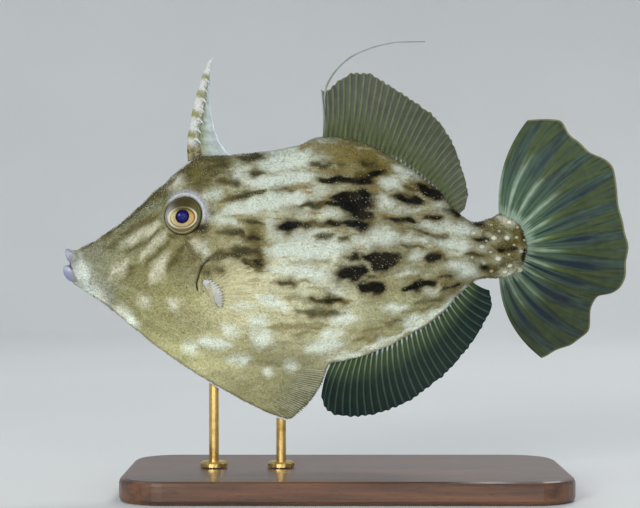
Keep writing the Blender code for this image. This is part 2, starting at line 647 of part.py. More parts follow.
def main():
    clear_scene()
    fish, cuts = collection("filefish"), collection("cutters")
    build_body(fish)
    build_lips(fish)
    build_eyes(fish)
    build_spine(fish)
    build_fins(fish)
    build_thread(fish)
    build_stand(fish, cuts)
    display = bpy.data.objects.new("display", None)
    fish.objects.link(display)
    for made in fish.objects:
        if made is not display:
            made.parent = display


main()
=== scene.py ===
"""The looks of a threadsail filefish at life size: its skin and spinules, eyes, lips, spine and fins.

Sizes are in millimetres, in the part's own frame: the fish faces -X, its left side is -Y and up is +Z.
Outlines and marks are side views. An outline is written as (x, z) points, and a mark as the two ends of its
long axis and its half width, (x, z, x, z, half width).
"""

import math

import bpy
import numpy as np
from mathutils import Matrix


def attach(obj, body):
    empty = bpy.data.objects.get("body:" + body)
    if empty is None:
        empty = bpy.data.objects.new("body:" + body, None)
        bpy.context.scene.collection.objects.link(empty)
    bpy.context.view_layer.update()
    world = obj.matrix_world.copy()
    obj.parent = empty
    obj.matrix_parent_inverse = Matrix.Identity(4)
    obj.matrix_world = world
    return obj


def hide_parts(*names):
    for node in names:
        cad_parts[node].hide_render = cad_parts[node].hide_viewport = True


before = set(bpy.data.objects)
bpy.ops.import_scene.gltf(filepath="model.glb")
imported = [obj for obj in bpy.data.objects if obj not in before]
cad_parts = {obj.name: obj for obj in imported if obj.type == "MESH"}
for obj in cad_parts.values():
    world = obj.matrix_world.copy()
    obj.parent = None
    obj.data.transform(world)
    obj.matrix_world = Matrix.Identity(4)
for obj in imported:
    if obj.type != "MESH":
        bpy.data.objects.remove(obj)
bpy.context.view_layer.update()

MM = 0.001
SIDES = ((-1, "left"), (1, "right"))

# Body outlines and widths, as in the solids
SNOUT_X, TAIL_X = -71.5, 48.2
BACK = [
    (SNOUT_X, 63.6), (-65.2, 66.8), (-57.2, 73.0), (-49.3, 80.2), (-41.3, 87.0), (-37.9, 88.7),
    (-30.7, 88.8), (-22.3, 89.7), (-13.5, 91.2), (-6.5, 93.6), (-1.5, 93.7), (6.4, 91.2), (17.0, 85.3),
    (24.3, 79.6), (29.7, 73.6), (34.0, 71.0), (38.2, 71.9), (40.6, 73.2), (44.0, 72.0), (46.6, 69.3),
    (TAIL_X, 64.7),
]
BELLY = [
    (SNOUT_X, 54.0), (-65.2, 50.1), (-57.2, 43.6), (-49.3, 37.2), (-41.3, 31.8), (-33.4, 27.0),
    (-25.4, 22.6), (-19.0, 19.7), (-15.2, 18.8), (-12.5, 20.7), (-8.2, 25.4), (-6.3, 28.6), (-5.5, 31.4),
    (-4.4, 33.3), (0.5, 34.2), (9.3, 37.1), (17.5, 41.3), (24.9, 46.3), (31.5, 53.3), (35.5, 55.9),
    (40.8, 56.0), (44.5, 57.2), (47.0, 60.4), (TAIL_X, 64.7),
]
TRUNK_FLOOR = [
    (SNOUT_X, 54.2), (-65.2, 51.0), (-57.2, 45.6), (-49.3, 40.4), (-41.3, 36.6), (-33.4, 34.0),
    (-25.0, 32.4), (-15.0, 31.9), (-5.3, 33.0), (0.5, 34.5), (9.3, 37.4), (17.5, 41.6), (24.9, 46.6),
    (31.5, 53.6), (35.5, 56.2), (40.8, 56.3), (44.5, 57.5), (47.0, 60.6), (TAIL_X, 64.7),
]
HALF_WIDTH = [
    (SNOUT_X, 2.7), (-67.8, 3.5), (-62.5, 4.7), (-57.2, 5.9), (-51.9, 7.0), (-43.0, 8.7), (-34.7, 9.7),
    (-25.0, 10.1), (-15.0, 9.9), (-4.0, 9.2), (6.4, 8.0), (17.0, 6.4), (25.0, 5.0), (33.0, 3.8),
    (38.0, 3.3), (42.0, 2.8), (46.0, 2.0), (TAIL_X, 1.1),
]
KEEL_HALF = [
    (SNOUT_X, 0.9), (-60.0, 1.2), (-28.0, 1.2), (-12.0, 0.9), (0.0, 1.1), (30.0, 1.1), (42.0, 0.9),
    (TAIL_X, 0.7),
]
TRUNK_ROUNDNESS, BACK_FULLNESS, BELLY_FULLNESS, KEEL_BLEND = 2.2, 0.6, 0.85, 3.0

# Skin
COAT_DEPTH = 0.15
# Rings along the body, and faces from back to belly on one side
SKIN_STATIONS, SKIN_SIDE = 300, 160
SKIN_END_X = 48.0
GILL_SLIT = [(-35.8, 61.0), (-37.1, 59.9), (-38.0, 58.3), (-38.6, 56.4), (-39.0, 54.6), (-38.8, 53.1)]
SLIT_AT = (-37.5, 57.0)
PELVIS = [(-40.0, 36.5), (-30.0, 30.0), (-21.0, 24.0), (-16.5, 20.5)]  # the ridge above the flap
NOSTRILS = [(-51.0, 75.5), (-52.4, 75.0)]
# Half sizes of a nostril's rings along and up the skin, and how far out each is
NOSTRIL_RINGS = [
    (0.8, 0.7, -0.35), (0.78, 0.68, -0.12), (0.62, 0.54, 0.1), (0.5, 0.42, 0.26), (0.4, 0.33, 0.3),
    (0.3, 0.24, 0.22), (0.25, 0.19, 0.0), (0.2, 0.15, -0.2),
]
FIELD_SPAN = 12.0  # how far marks are measured, from fully outside to fully inside

# Eyes
EYE_X, EYE_Z = -42.6, 72.6
EYE_SINK, EYE_DEPTH = 1.1, 3.1
EYE_RADIUS, RIM_RADIUS = 5.0, 5.6
IRIS = {"at": (0.15, -0.8), "half": (4.05, 3.05)}
PUPIL = {"at": (0.15, -0.52), "radius": 1.86}

# Marks of the skin
DARK_MARKS = [
    (-25.6, 66.7, -23.0, 66.4, 0.45), (-24.0, 61.0, -21.6, 59.6, 0.4), (-4.2, 77.2, 6.8, 78.2, 1.4),
    (-1.8, 75.2, 7.0, 75.6, 2.4), (0.4, 72.6, 6.6, 72.8, 2.0), (2.4, 70.0, 6.2, 70.2, 1.4),
    (-5.5, 75.4, 1.0, 76.4, 0.8), (-6.2, 70.5, 5.0, 70.6, 0.95), (-17.7, 69.2, -11.4, 70.6, 1.5),
    (-13.0, 71.2, -9.3, 69.8, 0.6), (-7.2, 81.8, 2.4, 82.2, 0.95), (2.8, 81.2, 9.7, 84.3, 1.0),
    (0.0, 81.7, 7.0, 81.4, 0.8), (0.6, 61.5, 3.4, 61.6, 0.8), (-2.9, 57.2, 5.4, 58.2, 2.1),
    (4.0, 61.7, 14.5, 61.4, 1.6), (6.6, 60.0, 14.2, 60.6, 1.5), (7.0, 58.8, 11.6, 58.9, 1.2),
    (2.9, 54.0, 10.6, 53.7, 1.8), (4.5, 56.2, 8.0, 56.8, 0.6), (14.4, 53.3, 23.3, 55.2, 1.05),
    (25.0, 52.9, 30.2, 54.7, 0.45), (24.6, 56.2, 27.9, 57.3, 0.6), (20.7, 60.9, 24.8, 62.4, 0.95),
    (10.6, 71.7, 18.3, 71.2, 0.75), (20.8, 72.0, 25.9, 72.6, 0.7), (12.0, 77.8, 20.6, 76.0, 1.0),
    (18.6, 81.0, 25.4, 77.2, 1.4), (26.4, 74.4, 30.6, 72.6, 1.0), (33.4, 66.6, 38.0, 66.2, 0.6),
    (33.8, 70.5, 37.0, 69.9, 0.7), (35.3, 59.1, 37.7, 59.6, 0.7), (39.6, 63.7, 45.0, 63.9, 0.8),
    (46.6, 60.5, 47.4, 64.0, 0.6), (46.8, 66.0, 47.4, 69.0, 0.5), (-9.6, 50.6, -1.0, 50.2, 0.55),
    (-5.8, 51.1, -2.6, 50.4, 0.5),
]
BROWN_MARKS = [
    (-36.8, 61.2, -22.5, 64.2, 1.3), (-27.4, 60.6, -20.9, 58.9, 1.3), (-27.2, 66.4, -22.4, 67.2, 1.7),
    (-24.5, 64.0, -21.5, 60.5, 1.2), (-12.4, 47.4, -1.5, 46.9, 1.1), (-10.0, 50.4, 0.5, 50.2, 0.9),
    (-18.2, 55.2, -13.6, 55.0, 0.75), (-9.5, 85.6, -3.4, 86.2, 0.8), (-29.6, 87.9, -21.6, 88.2, 1.0),
    (-26.0, 83.9, -21.2, 83.4, 0.6), (-40.5, 88.0, -30.5, 87.6, 0.9), (-38.0, 84.4, -30.4, 86.6, 1.2),
    (-40.4, 80.8, -35.6, 82.2, 0.9), (-33.8, 81.6, -27.4, 80.8, 0.9), (-42.6, 84.0, -40.4, 82.8, 1.0),
    (-39.4, 79.6, -38.4, 78.2, 0.6), (-33.6, 76.2, -20.5, 79.2, 0.8), (-21.0, 79.3, -13.0, 79.2, 0.3),
    (-34.2, 68.4, -26.0, 67.6, 1.0), (-7.4, 66.8, -3.0, 67.6, 0.9), (-1.8, 67.0, 0.8, 66.6, 0.5),
    (-36.6, 73.6, -34.2, 72.6, 0.7), (13.0, 64.6, 21.0, 64.3, 0.35), (15.0, 69.4, 22.0, 67.8, 0.4),
    (23.0, 67.2, 26.5, 66.9, 0.35), (14.6, 80.6, 19.0, 79.2, 0.6), (31.5, 62.6, 36.8, 62.2, 0.6),
    (24.6, 63.0, 26.4, 61.0, 0.5), (18.0, 49.6, 24.5, 50.6, 0.5), (10.0, 44.6, 14.4, 45.0, 0.5),
    (44.5, 67.6, 47.4, 68.6, 0.7), (40.8, 65.6, 46.0, 65.8, 0.8), (38.0, 68.2, 41.0, 67.8, 0.6),
    (-69.4, 64.2, -57.6, 72.0, 0.75), (-58.6, 71.4, -44.6, 83.0, 0.9), (-59.6, 67.6, -49.4, 72.4, 0.7),
    (-57.0, 63.2, -49.0, 68.4, 0.55), (-52.4, 59.4, -45.6, 66.6, 0.6), (-13.0, 75.0, -3.0, 75.8, 1.0),
    (-14.0, 70.1, -2.0, 70.4, 0.9), (-46.4, 58.0, -42.0, 65.6, 0.75), (-46.4, 67.4, -39.4, 67.0, 0.8),
    (-43.0, 66.6, -38.2, 60.6, 0.6), (-38.4, 58.8, -34.6, 56.6, 1.0), (-34.6, 59.6, -31.8, 56.8, 0.8),
    (-44.0, 84.0, -40.6, 85.6, 0.9), (-38.6, 80.8, -36.6, 80.8, 0.8), (-32.6, 81.4, -29.0, 81.0, 1.0),
    (-39.6, 79.4, -38.0, 78.8, 0.6), (-26.4, 66.9, -22.4, 66.7, 2.0), (-25.0, 60.4, -22.2, 59.6, 1.3),
    (-57.6, 57.0, -54.6, 60.0, 0.5), (-63.0, 63.6, -58.6, 66.8, 0.5), (-36.0, 83.4, -33.0, 84.4, 0.9),
    (-48.2, 76.6, -46.6, 79.4, 0.6), (1.6, 81.8, 10.2, 84.6, 1.7), (40.6, 59.8, 44.8, 61.0, 0.6),
    (38.0, 58.6, 40.4, 58.2, 0.5), (36.4, 68.4, 41.0, 68.8, 0.6), (40.0, 64.6, 43.6, 65.0, 0.6),
    (-39.6, 68.0, -35.8, 70.6, 1.9), (3.0, 87.0, 9.2, 84.8, 1.2), (-1.8, 86.1, -0.2, 86.0, 0.6),
    (-30.6, 62.6, -23.4, 63.4, 1.5), (-26.2, 59.9, -21.2, 59.2, 1.5), (-26.8, 71.2, -21.6, 70.4, 0.7),
    (-35.4, 87.2, -31.6, 86.8, 0.7), (-41.6, 86.4, -38.8, 87.6, 0.7), (-40.6, 60.8, -37.8, 63.0, 0.6),
]
TAN_MARKS = [
    (-26.6, 69.8, -20.6, 69.2, 2.3), (-43.0, 85.0, -38.0, 83.0, 1.0), (-12.6, 90.9, -6.0, 90.3, 2.0),
    (-7.5, 90.6, 12.5, 86.0, 2.6), (-5.0, 87.5, 8.0, 86.6, 1.6), (4.0, 89.4, 11.0, 86.8, 1.6),
    (-18.4, 74.8, -10.0, 75.0, 0.8), (-25.6, 71.8, -20.6, 71.9, 0.9), (-14.5, 60.5, -4.6, 60.3, 0.9),
    (-22.0, 43.4, -3.6, 43.9, 0.9), (3.0, 42.0, 9.4, 43.0, 0.6), (-24.0, 65.4, -16.0, 64.4, 0.9),
    (-20.6, 54.9, -9.0, 55.2, 0.7), (24.0, 50.6, 33.0, 54.6, 0.7), (9.0, 79.0, 14.0, 79.6, 0.6),
    (-21.0, 80.0, -8.0, 80.4, 0.5), (-14.0, 41.6, -8.0, 42.0, 0.7), (2.0, 39.6, 12.0, 41.2, 0.8),
    (26.6, 60.6, 31.0, 62.0, 0.5), (37.0, 61.8, 41.6, 62.6, 0.8), (39.0, 70.6, 46.0, 70.0, 1.0),
    (-53.0, 70.4, -48.4, 73.0, 0.8), (-8.0, 84.0, 2.0, 84.4, 0.7), (14.0, 47.0, 24.0, 48.8, 0.5),
    (-16.0, 50.8, -11.0, 51.6, 0.8),
]
PALE_MARKS = [
    (-29.6, 82.0, -25.4, 84.8, 1.2), (-22.0, 85.6, -9.4, 88.6, 2.2), (-26.8, 80.9, -8.8, 82.9, 1.5),
    (-32.0, 73.4, -11.6, 78.2, 2.0), (-36.4, 72.2, -29.0, 70.8, 1.0), (-20.4, 63.4, 0.6, 64.2, 2.4),
    (-14.4, 67.0, -6.6, 68.4, 1.2), (-20.6, 58.6, -7.6, 58.4, 1.0), (-12.0, 57.4, -3.0, 56.6, 0.8),
    (-4.8, 52.8, -1.2, 52.2, 0.7), (-5.6, 73.6, -1.6, 72.6, 0.7), (7.4, 76.8, 12.6, 76.2, 1.6),
    (9.4, 81.8, 14.4, 80.6, 1.6), (12.6, 85.2, 19.4, 82.4, 1.0), (23.4, 76.2, 27.2, 73.6, 1.1),
    (19.4, 70.6, 35.4, 68.6, 1.5), (2.6, 66.6, 13.2, 67.0, 2.0), (14.0, 66.8, 20.4, 66.2, 0.7),
    (24.4, 65.6, 33.4, 64.6, 1.8), (15.8, 61.4, 21.2, 62.6, 0.7), (26.4, 59.6, 35.0, 57.6, 1.5),
    (13.4, 57.3, 17.6, 57.5, 0.4), (10.2, 48.4, 15.2, 48.4, 0.8), (20.8, 52.4, 24.2, 53.0, 0.5),
    (15.0, 44.3, 21.4, 45.3, 1.1), (-3.4, 45.5, 2.4, 45.8, 1.2), (-10.0, 37.4, -1.6, 39.4, 1.5),
    (-7.0, 41.4, -0.6, 41.8, 0.7), (-24.4, 40.4, -19.4, 40.8, 1.8), (-38.8, 40.0, -30.8, 38.4, 1.1),
    (-42.6, 38.2, -39.4, 37.6, 0.8), (-31.8, 42.8, -28.8, 41.8, 1.1), (-25.6, 45.6, -21.2, 44.8, 1.2),
    (-23.6, 51.4, -15.2, 48.8, 0.9), (-31.4, 34.8, -25.6, 34.8, 0.8), (-16.0, 33.0, -13.0, 33.0, 0.7),
    (-21.6, 31.7, -19.8, 31.5, 0.4), (-60.6, 48.8, -55.8, 43.8, 1.5), (-54.0, 50.6, -51.4, 49.8, 1.0),
    (-45.8, 49.6, -43.8, 48.8, 0.7), (-48.4, 80.8, -42.6, 83.0, 1.1), (-58.4, 65.3, -48.4, 70.4, 1.4),
    (-53.6, 61.6, -47.4, 68.2, 0.7), (-51.2, 55.6, -46.8, 62.4, 1.2), (-39.8, 66.4, -36.2, 61.8, 1.4),
    (-37.0, 71.6, -33.6, 72.0, 0.7), (-62.0, 56.4, -57.4, 60.6, 0.7), (-37.4, 77.2, -32.4, 79.2, 1.0),
    (-69.8, 61.6, -68.4, 54.4, 1.0), (-69.8, 54.0, -63.8, 50.2, 1.6), (-10.6, 77.0, -18.0, 75.4, 1.0),
    (-17.0, 67.0, -20.0, 71.0, 1.2), (-30.0, 48.8, -23.4, 49.4, 0.5), (-4.0, 34.6, 4.4, 36.2, 0.8),
    (4.0, 36.9, 16.0, 41.8, 0.55), (15.0, 41.6, 26.0, 48.4, 0.7), (25.6, 48.2, 32.6, 53.6, 0.8),
    (37.8, 66.8, 39.8, 66.8, 0.8), (41.3, 66.8, 43.3, 66.8, 0.8), (34.6, 64.4, 36.6, 64.4, 0.8),
    (38.9, 61.3, 41.1, 61.1, 0.9), (35.3, 60.2, 37.1, 60.2, 0.6), (45.3, 63.2, 46.9, 63.2, 0.7),
    (45.3, 58.4, 46.7, 58.8, 0.7), (42.3, 59.4, 44.1, 59.4, 0.7), (40.6, 57.3, 44.8, 57.3, 1.2),
    (41.4, 71.6, 45.0, 71.0, 1.4), (-45.8, 80.2, -43.2, 83.2, 1.3), (-13.0, 90.4, -20.0, 89.4, 0.6),
    (11.6, 73.6, 20.0, 74.4, 0.7), (36.8, 67.6, 38.8, 67.4, 0.6), (34.6, 64.6, 36.4, 64.0, 0.6),
    (35.0, 60.4, 36.4, 60.0, 0.5), (40.4, 72.0, 44.6, 71.0, 0.6),
]
# Ground colours of the skin: where each is purest, how far it reaches, and its sRGB value
GROUND = {
    "mouth": (-72.4, 59.2, 1.4, (158, 158, 168)), "chin": (-69.7, 57.3, 1.6, (192, 200, 200)),
    "under_chin": (-66.5, 50.8, 2.6, (174, 184, 190)), "snout": (-65, 60, 5, (132, 134, 112)),
    "forehead": (-57, 70, 6, (113, 117, 92)), "cheek": (-50, 56, 9, (134, 130, 86)),
    "brow": (-37, 85, 5, (84, 80, 44)), "forehead_top": (-49, 79, 4, (100, 102, 76)),
    "throat": (-48, 42, 7, (160, 160, 114)), "chest": (-38, 42, 8, (200, 198, 152)),
    "flap": (-25, 29, 8, (146, 144, 104)), "flap_edge": (-11, 26, 5, (88, 92, 66)),
    "gill": (-36, 62, 6, (120, 114, 72)), "gill_cover": (-42, 57.5, 3.2, (58, 66, 50)),
    "pelvis": (-43.5, 48, 4.5, (128, 120, 72)), "shoulder": (-25, 72, 9, (154, 152, 118)),
    "behind_fin": (-27.5, 51.5, 7, (222, 218, 178)), "upper_flank": (-15, 85, 8, (156, 164, 150)),
    "mid_flank": (-8, 64, 9, (196, 202, 182)), "back": (3, 88, 5, (92, 86, 40)),
    "loin": (12, 78, 8, (120, 116, 82)), "hip": (22, 68, 9, (150, 152, 132)),
    "low_flank": (-8, 46, 9, (186, 184, 146)), "anal_base": (14, 46, 7, (168, 168, 126)),
    "rear_flank": (22, 57, 8, (138, 138, 104)), "tail_stem": (42, 65, 6, (80, 80, 36)),
}

# Lips
# Each lip's middle at the front and at the corner of the mouth, and its half sizes outwards and up
UPPER_LIP = {
    "front": (-72.85, 61.9), "corner": (-70.9, 61.0), "half": (1.4, 2.05), "corner_half": (0.35, 1.6),
}
LOWER_LIP = {
    "front": (-72.95, 57.35), "corner": (-70.9, 57.0), "half": (1.85, 2.15), "corner_half": (0.35, 1.9),
}
LIP_HALF, LIP_SLANT, LIP_TURN = 1.65, 0.38, 1.75
LIP_RINGS, LIP_ROUND = 110, 56  # rings along a lip, and points round it
# The skin's rounded end behind the lips: how far ahead each ring is, its share of the snout's height and
# width, and how far it is raised
NOSE = [
    (-0.35, 0.985, 0.99, 0.15), (-0.7, 0.95, 0.96, 0.25), (-1.0, 0.88, 0.88, 0.3),
    (-1.25, 0.76, 0.72, 0.3), (-1.4, 0.5, 0.42, 0.3),
]
MOUTH = [(-73.6, 59.7), (-72.9, 59.3), (-72.35, 58.6)]  # the line between the lips

# Spine, web and thread
SPINE_FRONT = [
    (-41.9, 87.0), (-42.1, 90.6), (-42.0, 93.3), (-41.5, 96.2), (-40.8, 100.2), (-39.9, 103.9),
    (-38.8, 107.6), (-37.6, 111.0), (-36.3, 113.8), (-35.2, 114.7),
]
SPINE_REAR = [
    (-38.2, 89.0), (-38.7, 92.0), (-38.7, 94.6), (-38.2, 97.5), (-37.5, 100.7), (-37.0, 103.9),
    (-36.6, 107.3), (-36.0, 110.5), (-35.5, 113.3), (-34.9, 114.4),
]
SPINE_HALF, SPINE_TIP_HALF = 1.4, 0.3
# Height and half width of each dark band
SPINE_BANDS = [(88.6, 2.2), (93.4, 1.2), (99.2, 1.3), (105.0, 1.2), (110.0, 1.0)]
BARBS, BARB_LONG, BARB_RADIUS = 8, 1.8, 0.6
WEB_FRONT = [
    (-39.0, 88.2), (-39.4, 92.0), (-39.3, 94.6), (-38.8, 97.5), (-38.1, 100.7), (-37.5, 103.9),
    (-36.9, 107.8), (-36.2, 111.0),
]
WEB_REAR = [
    (-30.0, 88.4), (-32.0, 90.3), (-33.5, 92.6), (-34.6, 95.4), (-35.4, 98.6), (-35.9, 102.0),
    (-36.1, 105.6), (-35.9, 108.6), (-35.6, 111.2),
]
THREAD = [
    (-5.5, 101.2), (-5.7, 103.7), (-5.35, 106.4), (-4.2, 109.0), (-1.8, 112.2), (1.2, 114.7),
    (4.6, 116.4), (8.9, 117.8), (14.3, 118.7), (21.0, 118.8),
]
THREAD_RADIUS, THREAD_TIP = 0.3, 0.12

# Fins
DORSAL_ROOT_X, ANAL_ROOT_X, CAUDAL_ROOT_X = (-6.3, 30.2), (-3.6, 33.6), 40.6
DORSAL_EDGE = [
    (-6.7, 106.2), (-5.3, 105.8), (-3.2, 107.6), (-0.3, 109.7), (1.9, 110.7), (5.8, 110.5), (9.0, 108.9),
    (14.3, 105.4), (19.6, 102.0), (24.9, 97.5), (28.6, 91.4), (31.0, 84.3), (32.3, 78.0), (31.3, 74.3),
]
ANAL_EDGE = [
    (-6.6, 24.6), (-5.2, 21.2), (-2.8, 19.9), (0.0, 19.3), (2.4, 19.3), (6.4, 19.8), (10.4, 20.8),
    (17.0, 23.8), (22.3, 27.6), (27.6, 32.1), (32.3, 37.6), (36.3, 43.5), (38.7, 49.5), (37.9, 53.0),
]
CAUDAL_EDGE = [
    (48.2, 98.1), (52.7, 98.6), (56.7, 97.9), (60.2, 93.8), (64.7, 90.1), (71.3, 85.1), (72.1, 80.8),
    (73.1, 73.0), (75.0, 65.0), (74.5, 58.3), (73.1, 53.8), (70.5, 52.1), (67.0, 51.4), (65.2, 48.0),
    (64.4, 42.2), (60.4, 39.0), (56.7, 37.1), (51.7, 35.0),
]
PECTORAL_ROOT = [(-36.2, 54.6), (-35.6, 52.4), (-34.8, 50.4), (-33.8, 48.9)]
PECTORAL_EDGE = [
    (-27.0, 60.4), (-24.3, 59.0), (-22.4, 56.6), (-21.5, 53.6), (-21.6, 50.4), (-22.8, 47.2),
    (-25.0, 44.8), (-27.8, 43.6),
]
PECTORAL_LOBE = [(-37.2, 55.3), (-35.9, 54.7), (-34.5, 53.0), (-33.4, 50.9), (-33.0, 48.6)]
LOBE_WIDE, LOBE_THICK, LOBE_TEETH = 1.6, 0.8, 13
# Knobs of the tail stem, (x, z, radius)
TUBERCLES = [
    (38.8, 66.7, 0.5), (42.3, 66.7, 0.5), (35.6, 64.4, 0.5), (40.0, 61.2, 0.55), (36.2, 60.1, 0.35),
    (46.2, 63.2, 0.4), (46.1, 58.5, 0.45), (43.2, 59.4, 0.45), (41.9, 57.7, 0.4), (44.9, 66.9, 0.35),
    (43.0, 70.9, 0.45), (45.2, 69.6, 0.3), (40.2, 68.6, 0.3), (38.2, 70.2, 0.3), (37.9, 63.0, 0.3),
    (42.8, 62.4, 0.3), (33.6, 68.0, 0.3), (33.0, 61.6, 0.28), (38.3, 58.0, 0.35), (44.2, 64.9, 0.3),
    (47.0, 66.2, 0.3), (36.8, 66.0, 0.25),
]
# Rows of pale granules, (x, z, x, z, count)
GRANULES = [
    (-35.5, 75.0, -28.0, 77.0, 11), (-28.0, 77.0, -20.0, 79.5, 12), (-14.0, 72.5, -10.5, 69.8, 7),
    (0.5, 59.5, 4.0, 56.0, 8), (7.6, 58.6, 13.0, 60.8, 7), (8.6, 61.8, 12.6, 59.2, 5),
    (-38.5, 88.4, -35.8, 87.6, 6), (4.5, 91.4, 10.0, 88.9, 9), (24.4, 77.9, 26.4, 76.2, 4),
    (30.2, 72.9, 33.4, 70.6, 4), (-8.0, 67.6, -3.2, 66.4, 7), (-36.4, 70.0, -32.6, 66.4, 7),
    (-45.0, 65.0, -49.6, 62.4, 7), (-42.2, 65.6, -41.4, 61.0, 7), (-52.0, 75.6, -60.0, 69.4, 9),
    (-46.6, 81.2, -51.6, 76.8, 8), (-38.6, 52.0, -35.2, 46.6, 8), (1.0, 76.4, 5.0, 77.4, 5),
    (-6.0, 60.6, 0.0, 60.4, 6), (-34.0, 61.4, -27.6, 62.6, 8),
]
# The toothed rear edge of the belly flap, and the place that its ribs fan out from
FLAP_EDGE = [(-15.6, 18.75), (-12.5, 20.5), (-8.2, 25.4), (-6.3, 28.6), (-5.2, 31.6)]
FLAP_FAN, FLAP_RIBS, RIB_LONG, RIB_RADIUS = (-36.0, 34.0), 27, 9.0, 0.15
# How far each pectoral fin stands off the flank at its root, and how steeply it leaves it
PECTORAL_LIFT, PECTORAL_SPREAD = 1.1, math.tan(math.radians(22))
# Rays, mesh steps from ray to ray, rows from root to edge, bend of the first and last ray, and half width
DORSAL = {"rays": 34, "steps": 9, "rows": 44, "bow": (-0.05, 0.12), "ray_half": 0.3}
ANAL = {"rays": 32, "steps": 9, "rows": 40, "bow": (-0.10, -0.14), "ray_half": 0.28}
CAUDAL = {"rays": 12, "steps": 30, "rows": 60, "bow": (0.20, -0.24), "ray_half": 0.42, "branched": True}
PECTORAL = {"rays": 13, "steps": 10, "rows": 40, "bow": (0.06, -0.06), "ray_half": 0.2}
WEB = {"rays": 8, "steps": 8, "rows": 24, "bow": (0, 0), "ray_half": 0.12, "fray": 0.0, "root_half": 0.22}
# How far each fin swings to the sides, and how often
DORSAL_WAVE, ANAL_WAVE, CAUDAL_WAVE = (0.9, 1.7), (0.8, 1.4), (1.4, 0.5)
MEMBRANE_HALF, FIN_ROOT_SUNK = 0.11, 0.7

# Blue streaks between the caudal rays, from the top: strength, and where each starts and ends on its way out
CAUDAL_STREAKS = [
    (0.45, 0.0, 0.7), (0.4, 0.4, 1.0), (0.5, 0.05, 0.6), (0.7, 0.2, 1.0), (0.6, 0.05, 0.8),
    (1.0, 0.0, 0.85), (1.3, 0.0, 0.9), (1.2, 0.0, 0.85), (1.3, 0.0, 0.95), (1.1, 0.0, 0.9),
    (0.8, 0.0, 0.85),
]
# How far each caudal ray's root is pale
CAUDAL_PALE = [0.65, 0.75, 0.7, 0.6, 0.4, 0.3, 0.5, 0.4, 0.45, 0.55, 0.5, 0.45]

# Each fin's colours and numbers, as fin_look names them
FIN_LOOKS = {
    "dorsal_membrane": {
        "web": ((70, 80, 44), (62, 68, 52)), "ray": ((46, 52, 24), (92, 98, 68)),
        "root": ((96, 92, 54), 0.03), "streaks": ((50, 60, 44), (164, 174, 174)),
        "margin": (118, 124, 96), "clear": 0.82, "fibres": 60,
    },
    "anal_membrane": {
        "web": ((46, 64, 38), (8, 28, 22)), "ray": ((122, 136, 110), (52, 72, 62)),
        "root": ((140, 144, 156), 0.02), "streaks": ((20, 26, 34), (190, 196, 214)),
        "margin": (24, 38, 62), "clear": 0.99, "fibres": 80, "thin": 0.32,
    },
    "caudal_membrane": {
        "web": ((66, 90, 68), (50, 67, 58)), "ray": ((116, 124, 50), (64, 74, 36)),
        "root": ((96, 90, 60), 0.03), "streaks": ((10, 30, 46), (140, 160, 146)),
        "margin": (140, 136, 96), "clear": 0.985, "fibres": 90, "grain": 0.45, "thin": 0.15, "low": 0.62,
    },
    "spine_membrane": {
        "web": ((134, 142, 116), (158, 170, 168)), "ray": ((144, 152, 134), (162, 174, 172)),
        "root": ((96, 94, 60), 0.08), "streaks": ((150, 160, 150), (222, 230, 236)),
        "margin": (206, 210, 222), "clear": 0.9, "fibres": 24, "grain": 0.07, "thin": 0.8, "brim": 0.9,
    },
    "pectoral_membrane": {
        "web": ((212, 204, 158), (204, 198, 154)), "ray": ((218, 212, 174), (212, 206, 168)),
        "root": ((166, 160, 132), 0.08), "streaks": ((150, 130, 80), (222, 226, 236)),
        "margin": (206, 200, 158), "clear": 0.06, "fibres": 40, "firm": 0.26, "brim": 0.99,
    },
    "pectoral_base": {
        "web": ((186, 192, 194), (168, 172, 168)), "ray": ((198, 202, 204), (190, 194, 196)),
        "root": ((180, 186, 184), 0.02), "streaks": ((150, 130, 80), (222, 226, 236)),
        "margin": (168, 158, 126), "clear": 1.0, "fibres": 40, "grain": 0.06, "brim": 0.86,
    },
}

# Spinules of the skin: how many in each zone, and the zones' ends along the body
COAT = {
    "head": (-71.2, -36.0, 17000), "shoulder": (-36.0, -12.0, 17000), "flank": (-12.0, 14.0, 17000),
    "tail": (14.0, 47.6, 15000),
}
SPINULE_LONG, SPINULE_RADIUS, SPINULE_SUNK = 0.42, 0.075, 0.08
SPINULE_WAY = np.array([1.0, 0, -0.12])  # where they lean, before they follow the skin
PATCH_HALF = 0.0012  # of each spinule's patch on the unwrap

# Studio
FISH_MIDDLE = (0, 0, 0.06)
FLOOR_ROUND = 96  # points round the floor


def smooth_line(points, at):
    """A monotone cubic through (x, value) points, so that it never bulges past them."""
    x, y = np.array(points, float).T
    step, slope = np.diff(x), np.diff(y) / np.diff(x)
    same = slope[:-1] * slope[1:] > 0
    mean = 2 * slope[:-1] * slope[1:] / np.where(same, slope[:-1] + slope[1:], 1)
    tangent = np.concatenate([[slope[0]], np.where(same, mean, 0), [slope[-1]]])
    at = np.clip(np.asarray(at, float), x[0], x[-1])
    i = np.clip(np.searchsorted(x, at, side="right") - 1, 0, len(x) - 2)
    t = (at - x[i]) / step[i]
    return (
        y[i] * (1 + 2 * t) * (1 - t) ** 2
        + tangent[i] * step[i] * t * (1 - t) ** 2
        + y[i + 1] * t * t * (3 - 2 * t)
        + tangent[i + 1] * step[i] * t * t * (t - 1)
    )


def along(points, share):
    """Points at these shares of the length of a smooth path through (x, z) points."""
    p = np.array(points, float)
    reach = np.concatenate([[0], np.cumsum(np.hypot(*np.diff(p, axis=0).T))])
    at = np.asarray(share, float) * reach[-1]
    return np.stack([smooth_line(np.stack([reach, p[:, k]], 1), at) for k in (0, 1)], -1)


def offset(path, lift):
    """A side-view path moved sideways: up where it runs towards the tail."""
    ahead = np.gradient(path, axis=0)
    side = np.stack([-ahead[:, 1], ahead[:, 0]], 1) / np.linalg.norm(ahead, axis=1)[:, None]
    return path + side * lift


